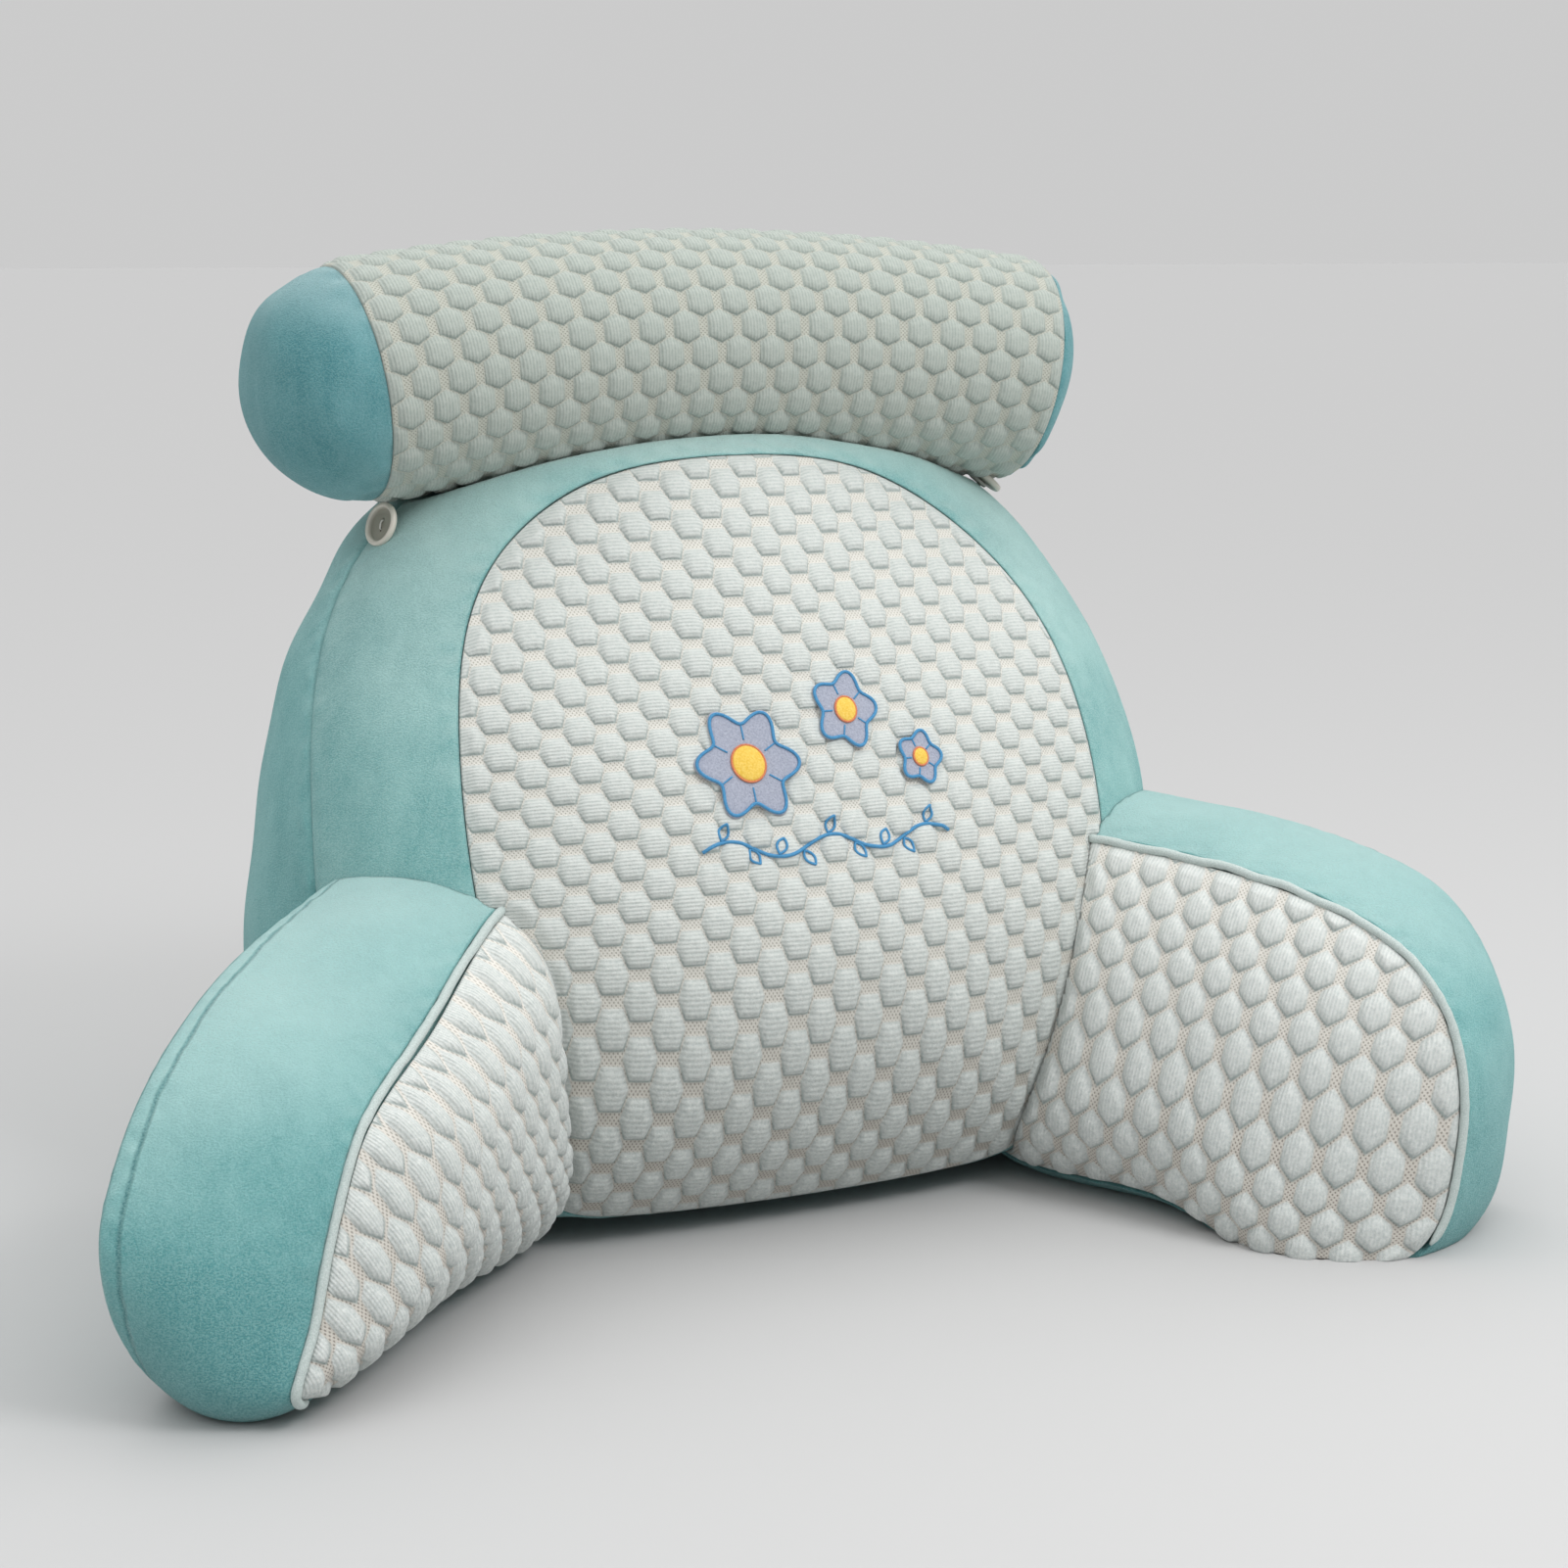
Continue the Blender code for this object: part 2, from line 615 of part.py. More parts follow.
class Arm:
    """An arm's outlines and patches, in its own frame."""

    def __init__(self, side, root_x, root_y, splay, crown, lean, stations):
        splay = math.radians(splay)
        self.root = np.array([side * root_x, root_y, 0])
        forward = [side * math.sin(splay), -math.cos(splay), 0]
        outward = [side * math.cos(splay), math.sin(splay), 0]
        self.axes = np.array([forward, outward, [0, 0, 1]])
        turns = np.arange(ARM_POINTS) / ARM_POINTS
        rings = closed_curve(np.reshape(stations, (-1, 6)), turns)
        inner, outer = rings[:, :3], rings[:, 3:]
        inside = (ARM_MIDDLE[0], ARM_MIDDLE_OUT, ARM_MIDDLE[1])
        self.lean = lean
        self.inner = Dish(inner, ARM_MIDDLE, self.inner_plane, crown, inside, ARM_FULLNESS)
        self.band = band_between(inner, outer, ARM_BAND_CROWN, inside)
        self.outer = Dish(outer, ARM_MIDDLE, self.outer_plane, ARM_OUTER_CROWN, inside)

    def inner_plane(self, z):
        return (z - ARM_MIDDLE[1]) * self.lean

    def outer_plane(self, z):
        return 0 * z + ARM_OUTER_PLANE

    def place(self, points, depth=0):
        return self.root + on_floor(points, depth) @ self.axes


def make_arm_cushion(arm, name, look):
    outer = arm.outer.patch
    *hidden, seam = recess(arm.inner, arm.band)
    shown = [seam] + [outer.lifted(s, 0) for s in (outer.from_end(SEAM_REACH), 0.75, 0.4)]
    rings = [arm.place(ring, COVER) for ring in hidden] + [arm.place(ring) for ring in shown]
    poles = arm.place(arm.inner.pole(-COVER)), arm.place(arm.outer.pole(0))
    return mesh_object(name, *closed_loft(poles[0], rings, poles[1]), look)


def make_welt(arm, name, look):
    """The piping along an arm's inner seam, from its root over the front to the floor."""
    seam = arm.inner.rim
    low = WELT_RADIUS + GAP
    line = np.maximum(WELT_ABOVE[0] + WELT_ABOVE[1] * seam[:, 0], low)
    kept = np.flatnonzero((seam[:, 0] > WELT_START) & (seam[:, 2] > line))
    before, after = seam[kept[0] - 1], seam[kept[0]]
    share = max((low - before[2]) / (after[2] - before[2]), 0)
    first = before + (after - before) * share
    route = arm.place(np.concatenate([first[None], seam[kept]]))
    return mesh_object(name, *tube(route, WELT_RADIUS, 8), look)


def make_arm(side_name, arm, cutter, looks):
    knit, velvet, welt = looks
    inner, band = f"arm_{side_name}_inner_panel", f"arm_{side_name}_band"
    quilt = ARM_QUILTS[side_name]
    pieces = [
        make_arm_cushion(arm, f"arm_{side_name}_cushion", velvet),
        band_slab(band, arm.band, WELT_CHANNEL, velvet, arm.place),
        quilted_slab(inner, arm.inner, WELT_CHANNEL, knit, arm.place, quilt),
    ]
    pieces.append(make_welt(arm, f"arm_{side_name}_welt", welt))
    for piece in pieces:
        cut(piece, cutter)


def make_roll(look):
    """The filled roll: its bubbles stand in rings, and the two ends are flat."""
    around, along = 2 * ROLL_BUBBLES_AROUND, 2 * ROLL_BUBBLES_ALONG
    outline = [(i, 0) for i in range(around)] + [(around, j) for j in range(along)]
    outline += [(i, along) for i in range(around, 0, -1)] + [(0, j) for j in range(along, 0, -1)]
    inner = []
    for j in range(1, along):
        for i in range(1, around):
            raised = (i + j) % 2 == 0
            inner += [(i + 2 * end, j) for end in ((0,) if raised else (-GROUND_HALF, GROUND_HALF))]
    flat = np.array(outline + inner, float)
    faces = triangulated(np.array(outline, float), np.array(inner, float))
    whole = (flat == np.round(flat)).all(axis=1)
    raised = whole & (flat.sum(axis=1) % 2 == 0) & (flat[:, 1] > 0) & (flat[:, 1] < along)
    seam = (flat[:, 1] == 0) | (flat[:, 1] == along)
    radius = ROLL_RADIUS + QUILT_HEIGHT * raised - SEAM_DIP * seam
    x = (flat[:, 1] / along * 2 - 1) * ROLL_HALF_LENGTH
    points = roll_point(x, flat[:, 0] % around / around, radius)
    centres = roll_axis(np.array([-ROLL_HALF_LENGTH, ROLL_HALF_LENGTH]))
    last = around + along
    faces += [(len(points), i, i + 1) for i in range(around)]
    faces += [(len(points) + 1, last + i, last + i + 1) for i in range(around)]
    return mesh_object("neck_roll", np.concatenate([points, centres]), faces, look)


def make_roll_end(name, side, depth, look):
    """A round end piece, domed by the filling."""
    count = 2 * ROLL_BUBBLES_AROUND
    x = np.full(count, side * ROLL_HALF_LENGTH)
    along = roll_frame(x)[0] * side
    rings = []
    for i in range(DOME_RINGS):
        rise = math.pi / 2 * i / DOME_RINGS
        radius = np.full(count, (ROLL_RADIUS - SEAM_DIP) * math.cos(rise) ** 0.9)
        ring = roll_point(x, np.arange(count) / count, radius)
        rings.append(ring + along * (GAP + depth * math.sin(rise)))
    flat = roll_axis(x[:1]) + along[:1] * GAP
    points, faces = closed_loft(flat, rings, flat + along[:1] * depth)
    return mesh_object(f"neck_roll_end_{name}", points, faces, look)


def button_frame(backrest, side):
    """Where a button sits on the frame band: its place, and its axes right, up and out."""
    ring, out = backrest.band.ring(BUTTON_ACROSS), backrest.band.outward(BUTTON_ACROSS)
    following = np.roll(ring, -1, 0)
    passes = (ring[:, 2] - BUTTON_HEIGHT) * (following[:, 2] - BUTTON_HEIGHT) <= 0
    i = np.flatnonzero(passes & (side * ring[:, 0] > 0.1))[0]
    share = (BUTTON_HEIGHT - ring[i, 2]) / (following[i, 2] - ring[i, 2])
    place = ring[i] + (following[i] - ring[i]) * share
    j = (i + 1) % len(ring)
    out = unit(out[i] + (out[j] - out[i]) * share)
    up = unit(np.array([0, 0, 1]) - out * out[2])
    return place, np.stack([np.cross(up, out), up, out])


def make_button(name, place, axes, look):
    """A two-hole button with a raised rim, on a shank of thread."""
    turns = np.arange(BUTTON_POINTS) / BUTTON_POINTS * 2 * math.pi
    circle = np.stack([np.cos(turns), np.sin(turns)], axis=1)
    rings = []
    for radius, height in BUTTON_PROFILE:
        rings.append(np.column_stack([circle * radius, np.full(BUTTON_POINTS, height)]))
    poles = [np.array([[0, 0, BUTTON_PROFILE[i][1]]]) for i in (0, -1)]
    points, faces = closed_loft(poles[0], rings, poles[1])
    button = mesh_object(name, place + points @ axes, faces, look)
    for i in (-1, 1):
        bpy.ops.mesh.primitive_cylinder_add(vertices=12, radius=BUTTON_HOLE_RADIUS, depth=0.012)
        hole = bpy.context.object
        hole.name = f"{name}_hole"
        turn = Matrix(axes.T).to_4x4() @ Matrix.Rotation(0.1, 4, "Z")
        spot = place + axes[0] * BUTTON_HOLES * i + axes[2] * 0.009
        hole.matrix_world = Matrix.Translation(Vector(spot)) @ turn
        move_to_cutters(hole)
        cut(button, hole)
    return button


def make_loop(name, place, axes, look):
    """The roll's loop: a thin cord round the button's shank and up behind the button."""
    turns = np.arange(LOOP_POINTS) / LOOP_POINTS * 2 * math.pi
    x = np.cos(turns) * LOOP_REACH
    y = np.sin(turns) * LOOP_REACH + np.where(np.sin(turns) > 0.1, LOOP_LENGTH - LOOP_REACH, 0)
    route = place + np.stack([x, y, np.full(LOOP_POINTS, LOOP_LIFT)], axis=1) @ axes
    return mesh_object(name, *tube(route, LOOP_RADIUS, 5, closed=True), look)


def recentred():
    """Moves the whole model's middle of footprint to the origin."""
    for obj in bpy.data.objects:
        obj.location.x -= FOOTPRINT_MIDDLE[0]
        obj.location.y -= FOOTPRINT_MIDDLE[1]


def main():
    for obj in list(bpy.data.objects):
        bpy.data.objects.remove(obj)
    for name in (COLLECTION, "cutters"):
        bpy.context.scene.collection.children.link(bpy.data.collections.new(name))
    knit = material("honeycomb_knit", (0.68, 0.75, 0.72), 0.85)
    velvet = material("turquoise_velvet", (0.17, 0.53, 0.53), 0.9)
    welt = material("welt", (0.55, 0.66, 0.64), 0.85)
    felt = material("lavender_felt", (0.45, 0.48, 0.62), 0.95)
    shell = material("button_plastic", (0.70, 0.70, 0.64), 0.4)
    cord = material("loop_cord", (0.75, 0.78, 0.76), 0.9)
    backrest = Backrest()
    make_backrest_cushion(backrest, velvet)
    band_slab("backrest_frame_band", backrest.band, SEAM_CHANNEL, velvet, backrest_place)
    make_center_panel(backrest, knit)
    for applique in APPLIQUES:
        make_applique(backrest.face, *applique, felt)
    cutter = make_arm_cutter(backrest)
    for side_name, *pose in ARMS:
        make_arm(side_name, Arm(*pose), cutter, (knit, velvet, welt))
    make_roll(knit)
    for name, side, depth in ROLL_ENDS:
        make_roll_end(name, side, depth, velvet)
        place, axes = button_frame(backrest, side)
        make_button(f"button_{name}", place, axes, shell)
        make_loop(f"button_loop_{name}", place, axes, cord)
    recentred()


main()
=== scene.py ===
"""Visual model of the reading pillow with arms and its neck roll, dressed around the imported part.

Metres, in the part's frame. Outlines are given on the pattern, whose x and y are moved by
-FOOTPRINT_MIDDLE at the end. A padded face is a grid of points with a height over a smooth
surface: quilting, seams that draw the cloth in, puckers beside them and broad soft waves.
"""

import math

import bmesh
import bpy
import numpy as np
from mathutils import Matrix, Vector
from mathutils.bvhtree import BVHTree


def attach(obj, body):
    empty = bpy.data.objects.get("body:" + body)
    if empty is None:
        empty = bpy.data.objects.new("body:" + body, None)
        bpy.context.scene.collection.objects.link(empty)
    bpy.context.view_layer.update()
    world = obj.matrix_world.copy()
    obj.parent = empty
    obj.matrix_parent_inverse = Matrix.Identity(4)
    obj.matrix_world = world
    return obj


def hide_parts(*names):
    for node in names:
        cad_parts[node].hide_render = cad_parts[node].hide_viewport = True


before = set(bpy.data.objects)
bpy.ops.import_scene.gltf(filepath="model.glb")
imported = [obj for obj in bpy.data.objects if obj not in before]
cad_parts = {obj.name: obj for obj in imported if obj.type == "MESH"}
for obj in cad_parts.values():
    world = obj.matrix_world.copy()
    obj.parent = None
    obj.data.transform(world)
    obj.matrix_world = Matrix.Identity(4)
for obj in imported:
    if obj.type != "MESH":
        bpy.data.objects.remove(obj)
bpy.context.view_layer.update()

TURN = 2 * math.pi
MILLIMETRES = 1000
FOOTPRINT_MIDDLE = (-0.0161, 0.0225)
RING_STEP = 0.01  # the shares and lengths over which a surface's slope is measured
FLAT_STEP = 0.002

# The photograph's view: turned to the object's right-hand side, and a little from above.
CAMERA_TURN = 0.4184243
CAMERA_RISE = 0.1956525
CAMERA_DISTANCE = 1.50823
CAMERA_ACROSS = -0.010299
CAMERA_UP = 0.225376
CAMERA_LIFT = 0.016
FOCAL_PIXELS = 2786.07
IMAGE_PIXELS = 1601
SENSOR = 36.0

# Backrest, right half, from the middle of the base to the top: three outlines as (x, y, z) in
# millimetres.
BACKREST_STATIONS = (
    # centre panel's edge, front seam of the side, back seam of the side
    ((0, 4, 12), (0, 58, 14), (0, 210, 0)),
    ((95, 6, 14), (115, 58, 15), (115, 210, 0)),
    ((146, 4, 30), (195, 58, 16), (200, 208, 4)),
    ((165, -12, 95), (240, 60, 85), (252, 206, 85)),
    ((184, -6, 190), (252, 68, 205), (246, 206, 200)),
    ((179, 38, 298), (238, 108, 300), (202, 212, 300)),
    ((146, 80, 362), (205, 139, 362), (152, 218, 362)),
    ((85, 94, 403), (138, 149, 412), (85, 222, 400)),
    ((0, 86, 416), (0, 152, 428), (0, 222, 412)),
)
BACKREST_INSIDE = (0.0, 0.12, 0.20)
FACE_MIDDLE = (0.0, 0.205)
FACE_CROWN = -0.045
FACE_LEAN = 0.36
BACK_PLANE = 0.212
BACK_CROWN = 0.030
BAND_CROWN = 0.010
BAND_REST = 0.1  # below this height the frame band flattens towards the floor
SIDE_CROWN = 0.018

# Neck roll.
ROLL_RADIUS = 0.0645
ROLL_HALF_LENGTH = 0.204
ROLL_MIDDLE = (0.151, 0.472)
ROLL_DROOP = 0.016
ROLL_FORWARD = 0.007
ROLL_BUBBLES_AROUND = 14
ROLL_BUBBLES_ALONG = 20
ROLL_GAP = 0.0004
ROLL_END_RADIUS = ROLL_RADIUS - 0.0016
ROLL_END_POWER = 0.9
ROLL_END_WAVES = 0.0016
ROLL_ENDS = (
    # name, side, depth of the dome
    ("left", -1, 0.056),
    ("right", 1, 0.017),
)

# Arms: distance forward from the root, distance outward, and height, in millimetres.
ARM_LEFT = (
    # inner seam, outer seam
    ((-75, 0, 16), (-85, 100, 0)),
    ((60, 6, 12), (50, 95, 0)),
    ((160, 6, 9), (150, 87, 0)),
    ((196, 3, 17), (192, 84, 16)),
    ((186, 0, 42), (220, 83, 50)),
    ((172, 0, 70), (228, 83, 90)),
    ((153, 0, 103), (215, 84, 118)),
    ((128, 0, 130), (187, 85, 149)),
    ((68, 0, 157), (110, 91, 184)),
    ((0, 0, 190), (10, 98, 200)),
    ((-75, 0, 190), (-85, 100, 196)),
    ((-90, 0, 95), (-100, 100, 100)),
)
ARM_RIGHT = (
    # inner seam, outer seam
    ((-75, -12, 16), (-85, 98, -10)),
    ((30, -26, 10), (30, 98, -10)),
    ((90, -40, -4), (90, 98, -10)),
    ((142, -40, -12), (142, 98, -8)),
    ((186, -12, 4), (177, 98, 12)),
    ((199, -2, 48), (189, 98, 54)),
    ((200, 0, 92), (190, 98, 97)),
    ((187, 0, 136), (176, 98, 141)),
    ((153, 0, 169), (143, 98, 176)),
    ((83, 0, 192), (75, 98, 200)),
    ((0, 0, 201), (-20, 98, 209)),
    ((-75, 0, 190), (-85, 98, 200)),
    ((-90, 0, 95), (-100, 98, 100)),
)
ARM_MIDDLE = (0.045, 0.096)
ARM_MIDDLE_OUT = 0.05
ARM_OUTER_PLANE = 0.09
ARM_OUTER_CROWN = 0.024
ARM_BAND_CROWN = 0.013
ARM_FULLNESS = 3
ARMS = (
    # name, side, root x and y, splay in degrees, inner face's crown and lean, outlines
    ("left", -1, 0.186, -0.022, 44, -0.036, 0.00, ARM_LEFT),
    ("right", 1, 0.186, -0.026, 33, -0.040, 0.28, ARM_RIGHT),
)
ARM_CLEAR = 0.0004  # between the backrest's surface and the arms
CUTTER_LOW = 0.012  # where the backrest's surface is lower, it is carried down to the bottom
CUTTER_BOTTOM = -0.02
WELT_RADIUS = 0.0024
WELT_GAP = 0.0021
WELT_FROM = -0.03  # the welt starts this far forward, and stays above a sloping line
WELT_ABOVE = (0.12, -0.6)

# Honeycomb quilting: pitches, height, and a bubble's half-sizes in pitches.
QUILT_ALONG = 0.0274
QUILT_HEIGHT = 0.0034
CENTER_HEIGHT = QUILT_HEIGHT * 0.88
ROLL_HEIGHT = QUILT_HEIGHT * 0.72
BUBBLE_TIP = 0.312
BUBBLE_CORNER = 0.19
BUBBLE_SIDE = 0.365
BUBBLE_POWER = 14.0  # how sharp a bubble's corners are
ARM_BUBBLE_POWER = 5.0
ARM_BUBBLE = 0.03  # how much longer an arm's bubbles are, as they narrow more to their tips
BUBBLE_REACH = 0.34  # from a bubble's middle to where its filling has sunk or risen fully
BUBBLE_RAMP = 0.62  # share of a bubble over which its side rises
BUBBLE_SAG = 0.34  # how much shorter that is at its lower side, and longer at its upper side
BUBBLE_ROUND = 2.6
BUBBLE_STEEP = 0.80  # the steep side's part of the height, and the soft crown's
BUBBLE_SOFT = 0.20
BUBBLE_BLEND = 0.10  # how soft a bubble's corners are in the material
ARM_BUBBLE_BLEND = 0.22  # how much softer they are on an arm
RIBS = 11
NET_ALONG = 13
NET_ACROSS = 9
# Which way the filling of a bubble sinks: back across its ribs, or this many times along them.
HANG_ACROSS = 2.0
HANG_ARM = -1.0
# The centre panel's rows arch; below a height they change to running down to the right.
ROWS_ARCH = 0.24
ROWS_RUN = 0.043
ROWS_LOW = 0.21
ROWS_BLEND = 0.10
# The cloth is stretched here and there, so that the pitch in metres changes with the height.
CENTER_PITCHES = (
    # height, pitch across the ribs
    (0.000, 0.0240),
    (0.045, 0.0270),
    (0.085, 0.0350),
    (0.120, 0.0360),
    (0.155, 0.0290),
    (0.190, 0.0232),
    (0.230, 0.0195),
    (0.280, 0.0180),
    (0.340, 0.0195),
    (0.440, 0.0205),
)
ARM_QUILTS = {
    # side: turn of the ribs in degrees, pitch across them, and (height, pitch along them)
    "left": (75, 0.0162, ((0.00, 0.024), (0.05, 0.025), (0.08, 0.034), (0.12, 0.040), (0.25, 0.046))),
    "right": (84, 0.0216, ((0.00, 0.029), (0.045, 0.033), (0.070, 0.044), (0.095, 0.047),
                           (0.125, 0.036), (0.155, 0.030), (0.25, 0.029))),
}

# Cloth.
COVER = 0.0060  # how deep a body lies under its cover pieces
TUCK = 0.0045  # and how far from the seam it starts to
THICK = 0.0046  # of a cover piece
BAND_GAP = 0.0002
SEAM_DEPTH = 0.0020
SEAM_REACH = 0.007
SEAM_GAP = 0.0006
FLAT_SEAM = 0.0009
FLAT_EDGE = 0.001  # flat cloth beside a panel's seam, before its quilting starts
ARM_FLAT_EDGE = 0.002
QUILT_FADE = 0.006  # quilting rises to its full height over this length
WAVE = 0.085
WAVE_FADE = 0.03
PUCKER_FADE = 0.004
LINING_INSET = 0.004
LINING_SHARES = (0.975, 0.85, 0.5)
STITCH_INSET = 0.009  # from an arm band's outer seam to its line of stitches

# Appliques, and the stitched vine beneath them.
APPLIQUES = (
    # name, x, z, radius, petals, depth of the petals
    ("applique_flower_large", -0.040, 0.262, 0.029, 6, 0.15),
    ("applique_flower_medium", 0.020, 0.285, 0.020, 5, 0.14),
    ("applique_flower_small", 0.060, 0.258, 0.014, 5, 0.13),
)
FELT = 0.0012
FELT_BED = 0.0018
FELT_MARGIN = 0.006
OUTLINE_RADIUS = 0.0009
HEART_OUTLINE_RADIUS = 0.0006
PETAL_LINE_RADIUS = 0.0005
FELT_ROWS = (
    # share of the radius, height over the bed
    (1.0, 0.0003),
    (1.0, FELT * 0.7),
    *((share, FELT) for share in (0.97, 0.8, 0.55, 0.3)),
)
HEART_ROWS = (
    (0.30, FELT + 0.0001),
    (0.30, FELT + 0.0007),
    (0.255, FELT + 0.0012),
)
HEART_TOP = FELT + 0.0014
VINE_START = (-0.072, 0.221)
VINE_LENGTH = 0.142
VINE_SWAY = 0.0045
VINE_RADIUS = 0.0010
STITCH_LIFT = 0.0004
VINE_LEAVES = 9
LEAF_LENGTH = 0.0085
LEAF_WIDTH = 0.0026
LEAF_RADIUS = 0.0007
LEAF_TURN = 62
LEAF_LIFT = 0.0012

# Buttons and loops; the keys are the sides.
BUTTON_HEIGHTS = {-1: 0.379, 1: 0.388}
BUTTON_PLACES = {-1: 0.86, 1: 0.97}  # share of the frame band's width
BUTTON_SLOPES = {-1: 0.35, 1: 1.0}  # how much of the cloth's upward slope a button keeps
BUTTON_PROFILE = (
    # distance from the middle, height over the cloth
    (0.0016, 0.0006),
    (0.0016, 0.0036),
    (0.0100, 0.0036),
    (0.0114, 0.0040),
    (0.0121, 0.0049),
    (0.0123, 0.0060),
    (0.0120, 0.0070),
    (0.0112, 0.0075),
    (0.0103, 0.0075),
    (0.0094, 0.0067),
    (0.0089, 0.0054),
    (0.0080, 0.0050),
    (0.0060, 0.0050),
    (0.0020, 0.0050),
)
BUTTON_HOLE = 0.0028  # from a button's middle
HOLE_RADIUS = 0.0010
HOLE_HEIGHTS = (0.001, 0.009)
THREAD_RADIUS = 0.00055
THREAD_HEIGHT = 0.0055
THREAD_ARCH = 0.0006
THREAD_DIP = 0.0132  # how steeply it goes into the holes, from this share of the way on
THREAD_DIP_FROM = 0.82
SHARP_EDGE = 32
LOOP_RADIUS = 0.0010
LOOP_LIFT = 0.0022
LOOP_REACH = 0.0034
LOOP_LENGTH = 0.0075

# Colours.
PLAIN = (1.0, 1.0, 1.0)
VELVET_DEEP = (0.085, 0.335, 0.345)
VELVET_LIT = (0.270, 0.570, 0.560)
# painted highlight on upward faces of the velvet
VELVET_PAINTED_TOP_LIGHT = (0.46, 0.61, 0.585)
# painted shade, low down and on faces turned away from the key light
VELVET_PAINTED_SHADE = (0.045, 0.215, 0.230)
# painted shadow in the stitched groove near an arm band's outer seam
VELVET_PAINTED_GROOVE_SHADE = (0.03, 0.16, 0.17)
VELVET_TIPS = (0.40, 0.68, 0.67)
NET_DEEP = (0.76, 0.745, 0.69)
NET_LIT = (0.86, 0.845, 0.79)
# painted shade towards the bottom, on the net
NET_PAINTED_LOW_SHADE = (0.54, 0.515, 0.465)
NET_HOLE = (0.58, 0.56, 0.50)
# painted shade towards the bottom, in the net's holes
NET_HOLE_PAINTED_LOW_SHADE = (0.30, 0.28, 0.245)
KNIT_DEEP = (0.54, 0.59, 0.572)
KNIT_LIT = (0.68, 0.715, 0.692)
# painted shade towards the bottom, on the bubbles
KNIT_PAINTED_LOW_SHADE = (0.41, 0.455, 0.448)
KNIT_FUZZ = (0.84, 0.86, 0.83)
# painted shade in the creases along the bubbles' lower edges
KNIT_PAINTED_CREASE_SHADE = (0.25, 0.34, 0.34)

# The studio's light, and how much of it the floor gives back.
SKY_HORIZON = 0.60
SKY_STEPS = (
    # from and to which height of the view, and the strength from there on
    (0.09, 0.20, 0.25),
    (0.36, 0.74, 1.55),
)
KEY_PLACE = (0.85, -1.4, 1.8)
KEY_TARGET = (0, 0, 0.2)
KEY_SIZE = (0.8, 0.6)
KEY_POWER = 17
FLOOR_TONE = 0.53
FLOOR_REACH = 60


def column(values):
    return np.reshape(values, (-1, 1))


def unit(vectors):
    return vectors / np.maximum(np.linalg.norm(vectors, axis=-1, keepdims=True), 1e-12)


def running(values):
    """The sums so far, from 0."""
    return np.concatenate([[0], np.cumsum(values)])


def circle(count):
    """Points once round a circle of radius 1."""
    turns = TURN * np.arange(count) / count
    return np.stack([np.cos(turns), np.sin(turns)], axis=1)


def smooth_step(share):
    return share * share * (3 - 2 * share)


def closed_curve(points, turns):
    """Points at these turns, 0 to 1, of a smooth closed curve through the given ones."""
    points = np.asarray(points, float)
    count = len(points)
    steps = np.sqrt(np.linalg.norm(np.roll(points, -1, 0) - points, axis=1))
    before = np.roll(steps, 1)
    system = np.zeros((count, count))
    rows = np.arange(count)
    system[rows, rows] = 2 / before + 2 / steps
    system[rows, (rows + 1) % count] += 1 / steps
    system[rows, (rows - 1) % count] += 1 / before
    rise = (np.roll(points, -1, 0) - points) / column(steps) ** 2
    slopes = np.linalg.solve(system, 3 * (rise + np.roll(rise, 1, 0)))
    knots = running(steps)
    at = np.asarray(turns) % 1 * knots[-1]
    first = np.clip(np.searchsorted(knots, at, side="right") - 1, 0, count - 1)
    last = (first + 1) % count
    step = column(steps[first])
    u = column(at - knots[first]) / step
    return (
        points[first] * (1 + 2 * u) * (1 - u) ** 2
        + points[last] * smooth_step(u)
        + slopes[first] * step * u * (1 - u) ** 2
        - slopes[last] * step * u**2 * (1 - u)
    )


def waves(points, wavelength, seed, count=9):
    """A smooth random field from -1 to 1, the same on every run."""
    rng = np.random.default_rng(seed)
    directions = unit(rng.normal(size=(count, points.shape[1])))
    lengths = wavelength * rng.uniform(0.7, 1.5, count)
    phases = rng.uniform(0, TURN, count)
    field = np.sin(points @ directions.T * (TURN / lengths) + phases)
    return field.sum(axis=1) / math.sqrt(count) / 1.4


# ---- surfaces


class Surface:
    """Padded cloth: lifted() gives points at a height over it, and place() where they end up."""

    def placed(self, at, height, depth=0):
        return self.place(self.lifted(at, height), depth)


class Patch(Surface):
    """A stretch of a padded body's surface between two rings, at the shares 0 and 1."""

    def __init__(self, ring, length, inside, place):
        self.ring = ring
        self.length = length
        self.inside = np.asarray(inside)
        self.place = place

    def outward(self, s):
        middle = self.ring(s)
        around = np.roll(middle, -1, 0) - np.roll(middle, 1, 0)
        across = self.ring(s + RING_STEP) - self.ring(s - RING_STEP)
        normal = unit(np.cross(around, across))
        return normal * np.sign(np.sum(normal * (middle - self.inside)))

    def lifted(self, s, height):
        return self.ring(s) + self.outward(s) * column(height)

    def from_start(self, distance):
        return distance / self.length

    def from_end(self, distance):
        return 1 - distance / self.length

    def rings(self, shares, height_at, closed_end=False):
        """Rings between its two seams; with closed_end the only seam is at its end."""
        made = []
        for t in shares:
            last = (1 - t) * self.length
            first = 1 + 0 * last if closed_end else t * self.length
            made.append(self.placed(t, height_at(self.ring(t), first, last)))
        return made


def band_between(first, last, crown, inside, place):
    """A patch that bulges between two rings."""

    def straight(s):
        return first + (last - first) * column(s)

    length = np.linalg.norm(last - first, axis=1)
    bulge = Patch(straight, length, inside, place).outward(0.5) * crown

    def ring(s):
        return straight(s) + bulge * column(4 * s * (1 - s))

    return Patch(ring, length, inside, place)


